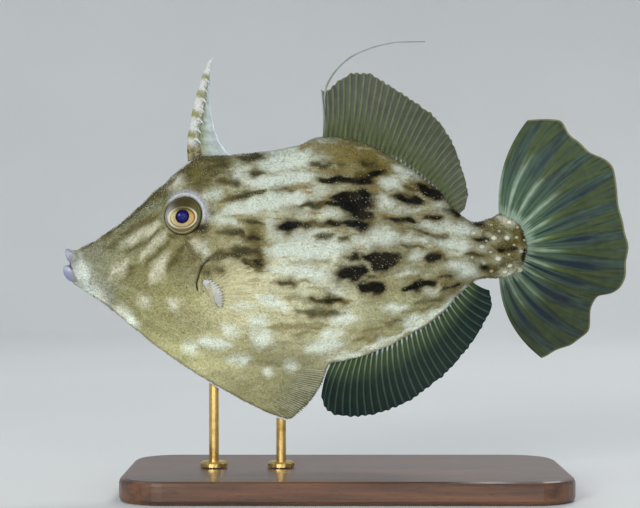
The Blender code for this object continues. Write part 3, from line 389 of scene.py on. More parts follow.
def back(x):
    return smooth_line(BACK, x)


def belly(x):
    return smooth_line(BELLY, x)


def flank(x, z):
    """Half thickness of the body at a point of its side view."""
    top, bottom, trunk_low = back(x), belly(x), smooth_line(TRUNK_FLOOR, x)
    keel_half = smooth_line(KEEL_HALF, x)
    height = (2 * z - top - trunk_low) / (top - trunk_low)
    fullness = np.where(height > 0, BACK_FULLNESS, BELLY_FULLNESS)
    trunk = smooth_line(HALF_WIDTH, x) * (1 - np.clip(np.abs(height), 0, 1) ** TRUNK_ROUNDNESS) ** fullness
    inside = np.clip(np.minimum(top - z, z - bottom) / keel_half, 0, 1)
    keel = keel_half * np.sqrt(1 - (1 - inside) ** 2)
    return (trunk**KEEL_BLEND + keel**KEEL_BLEND) ** (1 / KEEL_BLEND)


def unit(vectors):
    return vectors / np.linalg.norm(vectors, axis=-1, keepdims=True)


def frame_on_flank(side, x, z):
    """A point of the body's surface, the way it faces, and the ways towards the tail and up along it."""
    step = 0.5
    lean_x = (flank(x + step, z) - flank(x - step, z)) / (2 * step)
    lean_z = (flank(x, z + step) - flank(x, z - step)) / (2 * step)
    facing = unit(np.array([-lean_x, side, -lean_z]))
    tailward = unit(np.array([1.0, 0, 0]) - facing[0] * facing)
    upward = np.cross(facing, tailward) * -side
    return np.array([x, side * float(flank(x, z)), z]), facing, tailward, upward


def eased(value, low, high):
    """0 below low, 1 above high and an S curve between."""
    t = np.clip((value - low) / (high - low), 0, 1)
    return t * t * (3 - 2 * t)


def hill(value, middle, width):
    """1 at the middle, falling smoothly to both sides."""
    return np.exp(-(((value - middle) / width) ** 2))


def spot_at(x, z, at_x, at_z, spread):
    """1 at a place, falling smoothly all round it."""
    return np.exp(-((x - at_x) ** 2 + (z - at_z) ** 2) / spread)


def circle(count):
    """Angles evenly round a circle."""
    return np.arange(count) * 2 * math.pi / count


def hoop(turn, first, second):
    """Points round a circle of radius 1 that lies in the plane of two directions."""
    return np.cos(turn)[:, None] * first + np.sin(turn)[:, None] * second


def ripple(x, z, seed, size):
    """Smooth noise between about -1 and 1, with waves of about this size."""
    draw = np.random.default_rng(seed)
    waves, total = 7, 0
    for _ in range(waves):
        turn, phase = draw.uniform(0, 2 * math.pi), draw.uniform(0, 2 * math.pi)
        pace = draw.uniform(0.6, 1.5)
        reach = x * math.cos(turn) + z * math.sin(turn)
        total = total + np.sin(2 * math.pi * pace / size * reach + phase)
    return total / math.sqrt(waves)


def linear(colour):
    """A colour's linear value from its sRGB one."""
    c = np.array(colour) / 255
    return np.where(c <= 0.04045, c / 12.92, ((c + 0.055) / 1.055) ** 2.4)


# Meshes


def grid(tall, wide, wrap):
    """Faces of a grid of points, and each corner's share across and along it."""
    r, c = np.mgrid[0 : tall - 1, 0 : wide if wrap else wide - 1]
    over = (c + 1) % wide
    faces = np.stack([r * wide + c, r * wide + over, (r + 1) * wide + over, (r + 1) * wide + c], -1)
    turns = wide if wrap else wide - 1
    across = np.stack([c, c + 1, c + 1, c], -1) / turns
    along_it = np.stack([r, r, r + 1, r + 1], -1) / (tall - 1)
    return faces.reshape(-1, 4), np.stack([along_it, across], -1).reshape(-1, 4, 2)


def tube(rings):
    """A closed body through rings of points, with a pole at each end, and its unwrap."""
    rings = np.asarray(rings, float)
    tall, wide = rings.shape[:2]
    quads, quad_map = grid(tall, wide, True)
    c = np.arange(wide)
    over = (c + 1) % wide
    last, pole = (tall - 1) * wide, tall * wide
    tris = np.concatenate([
        np.stack([over, c, np.full(wide, pole)], 1),
        np.stack([last + c, last + over, np.full(wide, pole + 1)], 1),
    ])
    share = np.stack([c, c + 1, c + 0.5], 1) / wide
    low = np.stack([np.zeros_like(share), share[:, [1, 0, 2]]], -1)
    high = np.stack([np.ones_like(share), share], -1)
    points = np.concatenate([rings.reshape(-1, 3), [rings[0].mean(0)], [rings[-1].mean(0)]])
    return {"points": points, "faces": [quads, tris], "map": [quad_map, np.concatenate([low, high])]}


def sheet(left, right):
    """A closed thin body between two grids of points."""
    tall, wide = left.shape[:2]
    ring = np.concatenate([left, right[:, ::-1]], 1)
    quads, quad_map = grid(tall, 2 * wide, True)
    c = np.arange(wide - 1)
    low = np.stack([c + 1, c, 2 * wide - 1 - c, 2 * wide - 2 - c], 1)
    high = np.stack([c, c + 1, 2 * wide - 2 - c, 2 * wide - 1 - c], 1) + (tall - 1) * 2 * wide
    share = np.stack([c + 1, c, c, c + 1], 1) / (2 * wide)
    low_map = np.stack([np.zeros_like(share), share], -1)
    high_map = np.stack([np.ones_like(share), share[:, [1, 0, 3, 2]]], -1)
    return {
        "points": ring.reshape(-1, 3), "faces": [np.concatenate([quads, low, high])],
        "map": [np.concatenate([quad_map, low_map, high_map])],
    }


def joined(shapes):
    """Several closed bodies as one, with the same kinds of face."""
    counts = np.cumsum([0] + [len(s["points"]) for s in shapes])
    kinds = range(len(shapes[0]["faces"]))
    return {
        "points": np.concatenate([s["points"] for s in shapes]),
        "faces": [np.concatenate([s["faces"][k] + n for s, n in zip(shapes, counts)]) for k in kinds],
        "map": [np.concatenate([s["map"][k] for s in shapes]) for k in kinds],
    }


def volume(points, faces):
    """Six times a closed body's volume, negative where its faces look inwards."""
    total = 0
    for kind in faces:
        p = points[kind]
        for k in range(1, kind.shape[1] - 1):
            total += np.einsum("ij,ij->i", p[:, 0], np.cross(p[:, k], p[:, k + 1])).sum()
    return total


def piece(name, shape, look, slot, stands_for=(), **paints):
    """A mesh object that rides on the frame. paints are its colour attributes, one value a point."""
    faces, places = shape["faces"], shape["map"]
    if volume(shape["points"], faces) < 0:
        faces, places = [f[:, ::-1] for f in faces], [m[:, ::-1] for m in places]
    mesh = bpy.data.meshes.new(name)
    mesh.from_pydata((shape["points"] * MM).tolist(), [], [f for kind in faces for f in kind.tolist()])
    unwrap = mesh.uv_layers.new(name="OFBake")
    unwrap.data.foreach_set("uv", np.concatenate([0.01 + 0.98 * m.reshape(-1) for m in places]))
    for key, values in paints.items():
        layer = mesh.attributes.new(key, "FLOAT_COLOR", "POINT")
        full = np.ones((len(shape["points"]), 4))
        full[:, : values.shape[1]] = values
        layer.data.foreach_set("color", full.reshape(-1))
    mesh.materials.append(look)
    mesh.shade_smooth()
    made = bpy.data.objects.new(name, mesh)
    bpy.context.scene.collection.objects.link(made)
    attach(made, "root")
    if stands_for:
        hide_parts(*stands_for)


# Materials


class Look:
    """A material's nodes, in short calls that give back sockets."""

    def __init__(self, name, **settings):
        self.material = bpy.data.materials.new(name)
        self.material.use_nodes = True
        self.nodes, self.links = self.material.node_tree.nodes, self.material.node_tree.links
        self.shader = self.nodes["Principled BSDF"]
        self.output = self.nodes["Material Output"]
        self.place = self.nodes.new("ShaderNodeTexCoord").outputs["Object"]
        self.feed(self.shader, settings)

    def feed(self, node, values):
        for key, value in values.items():
            if isinstance(value, bpy.types.NodeSocket):
                self.links.new(value, node.inputs[key])
            else:
                node.inputs[key].default_value = value

    def add(self, kind, values, output=0, **settings):
        node = self.nodes.new("ShaderNode" + kind)
        for key, value in settings.items():
            setattr(node, key, value)
        self.feed(node, values)
        return node.outputs[output]

    def stretched(self, x, y, z):
        """Places in millimetres, drawn out along an axis where its number is below 1."""
        return self.add("VectorMath", {0: self.place, 1: (x / MM, y / MM, z / MM)}, operation="MULTIPLY")

    def noise(self, where, scale, detail=3.0, rough=0.5):
        return self.add("TexNoise", {"Vector": where, "Scale": scale, "Detail": detail, "Roughness": rough})

    def cells(self, where, scale):
        return self.add("TexVoronoi", {"Vector": where, "Scale": scale}, "Distance")

    def math(self, operation, a, b=0.0):
        return self.add("Math", {0: a, 1: b}, operation=operation)

    def line(self, value, slope, start=0.0):
        return self.add("Math", {0: value, 1: slope, 2: start}, operation="MULTIPLY_ADD")

    def band(self, value, low, high, to_low=0.0, to_high=1.0):
        values = {"Value": value, "From Min": low, "From Max": high, "To Min": to_low, "To Max": to_high}
        return self.add("MapRange", values, interpolation_type="SMOOTHSTEP")

    def mix(self, share, a, b):
        def whole(c):
            return c if isinstance(c, bpy.types.NodeSocket) else (*linear(c), 1)

        return self.add("Mix", {0: share, 6: whole(a), 7: whole(b)}, 2, data_type="RGBA")

    def shade(self, colour, amount):
        """A colour made darker or lighter by a number."""
        return self.add("VectorMath", {0: colour, "Scale": amount}, operation="SCALE")

    def paint(self, name):
        """A colour attribute, and its red, green, blue and alpha."""
        node = self.nodes.new("ShaderNodeAttribute")
        node.attribute_name = name
        parts = self.nodes.new("ShaderNodeSeparateColor")
        self.links.new(node.outputs["Color"], parts.inputs["Color"])
        return node.outputs["Color"], [*parts.outputs, node.outputs["Alpha"]]

    def bump(self, height, depth, strength=1.0):
        values = {"Height": height, "Distance": depth * MM, "Strength": strength}
        self.feed(self.shader, {"Normal": self.add("Bump", values)})

    def finish(self, **values):
        self.feed(self.shader, {key.replace("_", " "): value for key, value in values.items()})
        return self.material


def skin_look(name):
    """Skin with ragged marks: each mark's edge is where its field and the noise together pass zero."""
    look = Look(name, **{"Specular IOR Level": 0.08})
    spot, lie = look.stretched(1, 1, 1), look.stretched(0.4, 1, 1)
    ground, (_, _, _, bright) = look.paint("ground")
    _, (dark, brown, pale, tan) = look.paint("marks")
    _, (hollow_shade, rim, tip, streaky) = look.paint("extra")
    wide, fine = look.noise(lie, 0.5, 4.0, 0.6), look.noise(spot, 2.2, 2.0)
    ragged = look.math("ADD", look.line(wide, 3.2, -1.6), look.line(fine, 0.8, -0.4))

    def inside(field, soft, grow=0.0, loose=1.0):
        depth = look.line(field, FIELD_SPAN, grow - FIELD_SPAN / 2)
        return look.band(look.math("ADD", depth, look.line(ragged, loose)), -soft, soft)

    def over(share, amount, least, tone):
        return look.mix(look.math("MULTIPLY", share, look.line(streaky, amount, least)), colour, tone)

    colour = look.shade(ground, look.band(look.noise(lie, 0.22, 4.0), 0.3, 0.7, 0.86, 1.1))
    colour = look.shade(colour, look.band(look.noise(spot, 1.1, 4.0, 0.7), 0.36, 0.64, 0.9, 1.1))
    cloudy = look.band(look.noise(lie, 0.55, 3.0, 0.6), 0.5, 0.7, 0.0, 0.55)
    colour = over(cloudy, 0.7, 0.3, (202, 204, 176))
    drawn = look.noise(look.stretched(0.2, 1, 0.95), 0.72, 4.0, 0.68)
    colour = over(look.band(drawn, 0.49, 0.65), 0.62, 0.06, (124, 102, 54))
    colour = look.mix(look.line(inside(tan, 1.4), 0.66), colour, (110, 97, 46))
    share = look.line(inside(pale, 1.9, 0.3, 1.0), 0.86)
    # Painted light: the pale marks are made up to 1.55 times as light towards the belly, against the shade
    # that the light from above leaves there.
    low = look.band(look.add("SeparateXYZ", {0: look.place}, 2), 0.04, 0.068, 1.55, 1.0)
    colour = look.mix(share, colour, look.shade(look.mix(bright, (188, 186, 164), (190, 199, 188)), low))
    colour = over(look.band(drawn, 0.55, 0.7), 0.42, 0.0, (138, 116, 66))
    colour = look.mix(look.line(inside(brown, 1.6, 0.8), 0.5), colour, (96, 87, 42))
    colour = over(inside(brown, 1.1, -0.1), 0.42, 0.52, look.mix(streaky, (68, 63, 30), (48, 44, 19)))
    colour = over(inside(brown, 0.9, -1.15, 0.7), 0.3, 0.45, (32, 30, 14))
    colour = look.mix(look.line(inside(dark, 2.0, 1.7), 0.62), colour, (98, 86, 42))
    black = look.mix(look.band(look.noise(spot, 0.16), 0.42, 0.62), (2, 4, 2), (28, 24, 12))
    colour = look.mix(inside(dark, 0.95, 0.05), colour, black)
    grain = look.cells(spot, 1.9)
    colour = look.shade(colour, look.band(grain, 0.12, 0.6, 1.06, 0.9))
    grit = look.band(look.noise(spot, 2.6, 2.0, 0.6), 0.38, 0.62, -0.13, 0.12)
    grit = look.math("MULTIPLY", grit, look.line(streaky, -0.8, 1.0))
    colour = look.shade(colour, look.line(grit, 1.0, 1.0))
    freckle = look.band(look.noise(spot, 1.5), 0.58, 0.72, 0.0, 0.26)
    freckle = look.math("MULTIPLY", freckle, look.band(share, 0.2, 0.8, 1.0, 0.15))
    colour = look.mix(freckle, colour, (84, 74, 38))
    rim = look.math("MULTIPLY", rim, look.band(fine, 0.3, 0.6, 0.55, 0.95))
    colour = look.mix(rim, colour, (186, 190, 198))
    # Painted shade: near black in the gill slit, along the mouth, in the eye's socket and in the nostrils.
    colour = look.mix(hollow_shade, colour, (12, 10, 8))
    colour = look.mix(tip, colour, (226, 226, 208))
    rough = look.band(fine, 0.3, 0.7, 0.42, 0.6)
    height = look.math("SUBTRACT", look.noise(spot, 3.4), look.line(grain, 0.8))
    look.bump(height, 0.14, look.line(streaky, -0.4, 0.9))
    return look.finish(Base_Color=colour, Roughness=rough)


def fin_look(
    name, web, ray, root, streaks, margin, clear, fibres, firm=0.9, grain=0.25, thin=0.2, brim=0.98, low=1.0,
):
    """A fin. Paint "fin" has how near each point is to a ray, its share out and along, and its streak.

    web and ray hold the membrane's and a ray's colours near the root and further out, root the fleshy root's
    colour and reach, and streaks those for a streak above and below 0.5. clear and firm are how solid the
    membrane and the rays are, fibres is how many fine lines run along it, grain how much they show, thin how
    slender the rays look, brim where the bright margin starts and low how light the fin's last part is.
    """
    look = Look(name, **{"Specular IOR Level": 0.12})
    spot = look.stretched(1, 1, 1)
    _, (near, out, along_it, stain) = look.paint("fin")
    blotch = look.noise(spot, 0.45)
    lines = look.add("CombineXYZ", {0: look.line(along_it, fibres), 1: look.line(out, 2.5)})
    fibre = look.noise(lines, 1.0, 3.0, 0.6)
    uneven = look.math("ADD", look.line(fibre, 0.5, -0.25), look.line(blotch, 0.5, -0.25))
    soft = look.math("ADD", out, uneven)
    colour = look.mix(look.band(soft, 0.15, 0.6), *web)
    colour = look.shade(colour, look.band(fibre, 0.35, 0.65, 1 - grain, 1 + 0.8 * grain))
    frayed = look.line(fibre, 0.3, -0.15)
    rays = look.mix(look.band(look.math("ADD", out, frayed), 0.05, 0.5), *ray)
    on_ray = look.band(look.math("ADD", near, frayed), thin, thin + 0.55)
    colour = look.mix(look.line(on_ray, 0.75), colour, rays)
    stain = look.line(stain, 1, -0.5)
    streak = look.line(stain, look.band(fibre, 0.3, 0.7, 0.45, 1.5), 0.5)
    colour = look.mix(look.band(streak, 0.5, 0.9, 0, 0.95), colour, streaks[0])
    colour = look.mix(look.band(streak, 0.05, 0.5, 0.7, 0), colour, streaks[1])
    flesh, reach = root
    fleshy = look.band(look.math("ADD", out, look.line(blotch, 0.06, -0.03)), reach * 0.4, reach, 1.0, 0.0)
    colour = look.mix(fleshy, colour, flesh)
    edge = look.band(out, brim, 0.5 + 0.5 * brim)
    colour = look.mix(look.line(edge, 0.7), colour, margin)
    colour = look.shade(colour, look.band(blotch, 0.3, 0.7, 0.85, 1.12))
    colour = look.shade(colour, look.band(along_it, 0.2, 0.9, 1.0, low))
    solid = look.math("MAXIMUM", look.line(on_ray, firm), fleshy)
    solid = look.math("MAXIMUM", solid, look.line(edge, 0.5))
    solid = look.math("MAXIMUM", solid, look.band(look.math("ABSOLUTE", stain), 0.1, 0.5))
    look.bump(look.math("ADD", look.noise(spot, 4.0, 2.0), look.line(fibre, 4 * grain)), 0.05, 0.5)
    rough = look.band(fibre, 0.3, 0.7, 0.3, 0.45)
    return look.finish(Base_Color=colour, Roughness=rough, Alpha=look.band(solid, 0.0, 1.0, clear, 0.98))


def eye_look():
    look = Look("eye_iris", **{"Specular IOR Level": 0.1})
    spot = look.stretched(1, 1, 1)
    colour, (_, _, _, shine) = look.paint("iris")
    flecks = look.band(look.noise(spot, 5.0, 3.0, 0.7), 0.3, 0.7, 0.78, 1.18)
    look.bump(look.noise(spot, 6.0, 2.0), 0.015, 0.3)
    rough, metal = look.band(shine, 0.0, 1.0, 0.7, 0.45), look.line(shine, 0.1)
    return look.finish(Base_Color=look.shade(colour, flecks), Roughness=rough, Metallic=metal)


def cornea_look():
    """Clear, with a window's reflection at its edge and a faint one head on."""
    look = Look("eye_cornea")
    facing = look.add("LayerWeight", {"Blend": 0.25}, "Facing")
    smear = look.noise(look.stretched(1, 1, 1), 1.2, 2.0)
    glint = look.add("BsdfGlossy", {"Roughness": look.band(smear, 0.3, 0.7, 0.14, 0.2)})
    clear = look.add("BsdfTransparent", {})
    share = look.band(facing, 0.1, 1.0, 0.0008, 0.05)
    look.feed(look.output, {"Surface": look.add("MixShader", {0: share, 1: clear, 2: glint})})
    return look.material


def lip_look():
    look = Look("lips")
    spot, folds = look.stretched(1, 1, 1), look.stretched(1, 1, 0.35)
    _, (rim, crease_shade, behind, _) = look.paint("lip")
    flesh = look.mix(look.noise(spot, 0.8), (118, 120, 146), (134, 134, 168))
    # Pale upper edge of each lip: partly the lip's own pale edge, partly a painted highlight.
    flesh = look.mix(look.line(rim, 0.75), flesh, (168, 178, 190))
    flesh = look.mix(look.line(behind, 0.92), flesh, (126, 128, 124))
    flesh = look.shade(flesh, look.band(look.noise(folds, 1.4, 4.0, 0.65), 0.35, 0.65, 0.9, 1.06))
    # Painted shade: dark in the crease where the lips meet and in the mouth's gap.
    flesh = look.mix(look.line(crease_shade, 0.85), flesh, (62, 58, 84))
    look.bump(look.noise(folds, 2.2), 0.1, 0.6)
    return look.finish(Base_Color=flesh, Roughness=look.band(look.noise(spot, 2.0), 0.3, 0.7, 0.3, 0.42))


def spine_look():
    look = Look("spine_bone", **{"Specular IOR Level": 0.3})
    spot = look.stretched(1, 1, 1)
    _, (band, point, behind, foot) = look.paint("bands")
    wide = look.noise(spot, 1.1, 4.0, 0.6)
    bone = look.mix(look.noise(spot, 0.9, 4.0), (160, 164, 152), (204, 206, 210))
    ahead = look.math("MULTIPLY", band, look.line(behind, -0.7, 1.0))
    patchy = look.math("ADD", ahead, look.line(wide, 0.9, -0.45))
    bone = look.mix(look.band(patchy, 0.0, 1.1, 0.0, 0.95), bone, (118, 116, 54))
    lattice = look.math("MULTIPLY", behind, look.band(look.cells(spot, 1.5), 0.3, 0.55))
    bone = look.mix(look.line(lattice, 0.75), bone, (104, 108, 70))
    bone = look.mix(look.band(look.noise(spot, 2.2), 0.58, 0.7, 0.0, 0.6), bone, (84, 80, 46))
    mottled = look.mix(look.band(wide, 0.42, 0.58), (66, 60, 34), (138, 130, 92))
    bone = look.mix(look.line(foot, 0.9), bone, mottled)
    bone = look.mix(look.line(point, 0.8), bone, (226, 230, 234))
    look.bump(look.math("SUBTRACT", look.noise(spot, 3.0), look.cells(spot, 2.2)), 0.15, 0.8)
    return look.finish(Base_Color=bone, Roughness=look.band(look.noise(spot, 2.0), 0.3, 0.7, 0.38, 0.55))


def wood_look():
    look = Look("stand_walnut", **{"Coat Weight": 0.25, "Coat Roughness": 0.2})
    grain = look.stretched(0.05, 1, 1)
    rings = look.noise(grain, 0.25, 5.0, 0.6)
    pores = look.noise(look.stretched(0.12, 1, 1), 2.2, 3.0, 0.7)
    wood = look.mix(look.band(rings, 0.35, 0.65), (58, 36, 22), (104, 66, 40))
    wood = look.mix(look.band(pores, 0.56, 0.7, 0.0, 0.6), wood, (34, 21, 13))
    look.bump(pores, 0.06, 0.5)
    return look.finish(Base_Color=wood, Roughness=look.band(rings, 0.3, 0.7, 0.34, 0.46))


def brass_look():
    look = Look("stand_brass", Metallic=1.0)
    spot, brushed = look.stretched(1, 1, 1), look.stretched(1, 1, 0.08)
    tarnish = look.band(look.noise(spot, 0.35, 4.0), 0.4, 0.75)
    scratch = look.noise(brushed, 3.0)
    look.bump(scratch, 0.02, 0.5)
    brass = look.mix(tarnish, (206, 176, 110), (156, 122, 66))
    return look.finish(Base_Color=brass, Roughness=look.band(scratch, 0.3, 0.7, 0.22, 0.38))


def floor_look():
    look = Look("studio_floor")
    haze = look.noise(look.stretched(1, 1, 1), 0.006)
    pale = look.mix(haze, (206, 208, 208), (216, 218, 217))
    return look.finish(Base_Color=pale, Roughness=look.band(haze, 0.3, 0.7, 0.6, 0.7))


# Skin


def signed_field(marks, x, z):
    """How deep each point lies inside the nearest of the marks, negative outside them."""
    deepest = np.full(x.shape, -FIELD_SPAN)
    for x1, z1, x2, z2, wide in marks:
        half_long = math.hypot(x2 - x1, z2 - z1) / 2
        way = ((x2 - x1) / (2 * half_long), (z2 - z1) / (2 * half_long))
        dx, dz = x - (x1 + x2) / 2, z - (z1 + z2) / 2
        far = np.hypot((dx * way[0] + dz * way[1]) / half_long, (dz * way[0] - dx * way[1]) / wide)
        depth = np.minimum((1 - far) * np.hypot(dx, dz) / np.maximum(far, 0.001), wide)
        deepest = np.maximum(deepest, depth)
    return deepest


def marks_at(points):
    """The marks' fields for the skin's shader. The right side's marks are the left's, moved and bent."""
    x, y, z = points.T
    right = np.clip(y / 3.0, 0, 1)
    x, z = x + right * 2.4 * np.sin(0.21 * z + 1.0), z + right * 1.6 * np.sin(0.17 * x + 2.0)
    x, z = x + 0.45 * ripple(x, z, 3, 6.0), z + 0.3 * ripple(x, z, 4, 5.0)
    fields = [signed_field(marks, x, z) for marks in (DARK_MARKS, BROWN_MARKS, PALE_MARKS, TAN_MARKS)]
    return np.clip(0.5 + np.stack(fields, 1) / FIELD_SPAN, 0, 1)


def ground_at(points):
    """The ground colour, and how white the pale marks are: less so on the cheeks and the forehead."""
    x, _, z = points.T
    total, weights = np.zeros((len(points), 3)), np.zeros(len(points))
    for at_x, at_z, reach, colour in GROUND.values():
        weight = spot_at(x, z, at_x, at_z, 2 * reach**2) + 1e-6
        total += weight[:, None] * linear(colour)
        weights += weight
    brow = 0.3 * spot_at(x, z, -44.5, 81.8, 6)
    flanks = eased(x, -40, -34) * (1 - 0.7 * eased(x, 35, 40))
    bright = np.max([flanks, 1 - eased(z, 44, 52), 1 - eased(x, -67, -64), brow], axis=0)
    return np.concatenate([total / weights[:, None], bright[:, None]], 1)


def gap_to(path, x, z):
    """Distance of each point from a side-view path's nearest point."""
    return np.hypot(x[..., None] - path[:, 0], z[..., None] - path[:, 1]).min(-1)


def slit_reach(x, z):
    """Distance from the gill slit, positive behind it."""
    path = along(GILL_SLIT, np.linspace(0, 1, 60))
    front_x = np.interp(z, path[::-1, 1], path[::-1, 0])
    return gap_to(path, x, z) * np.where(x > front_x, 1, -1)


def gape(x, z):
    """How near each point lies to the line between the lips."""
    return 1 - eased(gap_to(along(MOUTH, np.linspace(0, 1, 20)), x, z), 0.1, 0.45)


def from_eye(points, side):
    """How far points lie towards the tail from one side's eye, how far up, and how far in all."""
    at, _, tailward, upward = frame_on_flank(side, EYE_X, EYE_Z)
    off = points - at
    a, b = off @ tailward, off @ upward
    return a, b, np.hypot(a, b)


def relief(points):
    """How far the skin's folds stand above the plain body."""
    x, y, z = points[..., 0], points[..., 1], points[..., 2]
    height = 0.10 * ripple(x, z, 11, 9.0) + 0.05 * ripple(x, z, 12, 3.0) - COAT_DEPTH
    for side in (-1, 1):
        a, b, r = from_eye(points, side)
        crest = 0.62 + 0.2 * (b + a) / np.maximum(r, 1)
        fold = hill(r, RIM_RADIUS, np.where(r < RIM_RADIUS, 0.42, 0.75)) * crest
        socket = -1.8 * (1 - eased(r, EYE_RADIUS - 0.35, EYE_RADIUS + 0.12))
        height = height + np.where((y * side > 0) & (r < 12), fold + socket, 0)
    behind = slit_reach(x, z)
    height -= 0.8 * hill(behind, 0, 0.2)
    height += 0.32 * hill(behind, 0.75, 0.55) + 0.16 * hill(behind, -0.8, 0.5)
    return height + 0.3 * hill(gap_to(along(PELVIS, np.linspace(0, 1, 60)), x, z), 0, 1.1)


def spaced(at, steps, count):
    """Places along at, evenly spaced by the sum of its steps."""
    reach = np.concatenate([[0], np.cumsum(steps)])
    return np.interp(np.linspace(0, 1, count), reach / reach[-1], at)


def stations():
    """Places of the skin's rings, closer round the eye, the gill slit and the snout."""
    fine = np.linspace(SNOUT_X, SKIN_END_X, 4000)
    dense = 1 + 1.9 * hill(fine, EYE_X, 5.2) + 0.9 * hill(fine, SLIT_AT[0], 2.5)
    dense += 0.8 * hill(fine, SNOUT_X, 3.0)
    return spaced(fine, (dense[1:] + dense[:-1]) / 2, SKIN_STATIONS)


def half_widths(x, z):
    """Half thickness at one ring's heights, nothing at the back and the belly."""
    y = flank(np.full_like(z, x), z)
    y[0] = y[-1] = 0
    return y


def side_heights(x):
    """One ring's heights from back to belly, evenly spaced on the surface but closer near the eye."""
    top, bottom = back(x), belly(x)
    z = (top + bottom) / 2 + (top - bottom) / 2 * np.cos(np.linspace(0, math.pi, 1500))
    dense = 1 + 1.5 * spot_at(x, z, EYE_X, EYE_Z, 40) + 0.8 * spot_at(x, z, *SLIT_AT, 20)
    steps = np.hypot(np.diff(half_widths(x, z)), np.diff(z)) * (dense[1:] + dense[:-1]) / 2
    return spaced(z, steps, SKIN_SIDE + 1)


def skin_shape():
    x = stations()
    rings = []
    for at in x:
        z = side_heights(at)
        left = np.stack([np.full_like(z, at), -half_widths(at, z), z], 1)
        right = left[-2:0:-1] * (1, -1, 1)
        rings.append(np.concatenate([left, right]))
    rings = np.array(rings)
    ahead = np.gradient(rings, axis=0)
    around = np.roll(rings, -1, 1) - np.roll(rings, 1, 1)
    facing = unit(np.cross(ahead, around))
    middle = np.stack([x, 0 * x, (back(x) + belly(x)) / 2], 1)[:, None]
    facing *= np.sign(np.sum(facing * (rings - middle), -1, keepdims=True))
    rings = rings + facing * relief(rings)[..., None]
    nose = rings[0]
    centre = nose.mean(0)
    for ahead_x, tall, wide, lift in NOSE:
        front = (nose - centre) * (1, wide, tall) + centre + (ahead_x, 0, lift)
        rings = np.concatenate([front[None], rings])
    return tube(rings)


def extras_at(points, tips=0):
    """Painted shade in the gill slit, along the mouth and in the eye's socket, the bright fold round the
    eye, the pale tips, and how streaky the skin is.
    """
    x, y, z = points.T
    # Painted shade: near black in the gill slit's groove, and darker along the line where the lips meet.
    hollow_shade = 0.95 * (1 - eased(np.abs(slit_reach(x, z)), 0.1, 0.3))
    hollow_shade = np.maximum(hollow_shade, 0.7 * gape(x, z))
    rim = 0 * x
    for side in (-1, 1):
        a, b, r = from_eye(points, side)
        lit = eased((0.6 * a + b) / np.maximum(r, 0.1), -0.1, 0.7)
        fold = hill(r, 5.65, np.where(r < 5.65, 0.6, 0.55 + 0.65 * lit)) * lit
        rim = np.where((y * side > 0) & (r < 9), fold, rim)
        # Painted shade in the eye's socket, round the edge of the eyeball.
        hollow_shade = np.where((y * side > 0) & (r < EYE_RADIUS + 0.1), 0.7, hollow_shade)
    streaky = eased(x, -37, -24) * (1 - 0.5 * eased(x, 33, 40))
    streaky = streaky * (0.3 * eased(z, 28, 36) + 0.7 * eased(z, 46, 60))
    streaky = np.maximum(streaky, spot_at(x, z, -38.3, 69.4, 5))
    return np.stack([hollow_shade, rim, tips + 0 * x, streaky], 1)


def skin_piece(name, shape, look, extra, stands_for=(), at=None):
    """A piece painted as the skin is, by its own points' places or by those given."""
    at = shape["points"] if at is None else at
    piece(name, shape, look, "skin", stands_for, marks=marks_at(at), ground=ground_at(at), extra=extra)


def build_skin(look):
    shape = skin_shape()
    skin_piece("skin", shape, look, extras_at(shape["points"]), ("head", "torso", "belly_flap", "tail_stem"))
    return shape


def spinules(root, out, home, stand, long, radius):
    """Bent spinules of 7 points each, three at the root, three at the bend and the tip.

    root is where each grows from, out the way the skin faces there, home the same place on the skin's
    unwrap, and stand how upright it is.
    """
    lie = unit(SPINULE_WAY - out * (out @ SPINULE_WAY)[:, None])
    side = np.cross(out, lie)
    turn = circle(3)
    base = (root - out * SPINULE_SUNK)[:, None]
    base = base + hoop(turn, side[:, None], lie[:, None]) * radius[:, None, None]
    bend = root + unit(out * (stand + 0.6)[:, None] + lie) * (long * 0.45)[:, None]
    waist = bend[:, None] + hoop(turn, side[:, None], out[:, None]) * (0.75 * radius)[:, None, None]
    tip = bend + unit(out * stand[:, None] + lie) * (long * 0.6)[:, None]
    points = np.concatenate([base, waist, tip[:, None]], 1).reshape(-1, 3)
    start = np.arange(len(root))[:, None, None] * 7
    c, over = np.arange(3), (np.arange(3) + 1) % 3
    walls = (np.stack([c, over, over + 3, c + 3], 1)[None] + start).reshape(-1, 4)
    tops = np.stack([c + 3, over + 3, np.full(3, 6)], 1)
    caps = (np.concatenate([tops, [[2, 1, 0]]])[None] + start).reshape(-1, 3)
    outer = home[:, None] + PATCH_HALF * np.stack([np.cos(turn), np.sin(turn)], 1)[None]
    inner = home[:, None] + 0.5 * (outer - home[:, None])
    patch = np.concatenate([outer, inner, home[:, None]], 1).reshape(-1, 2)
    return {"points": points, "faces": [walls, caps], "map": [patch[walls], patch[caps]]}


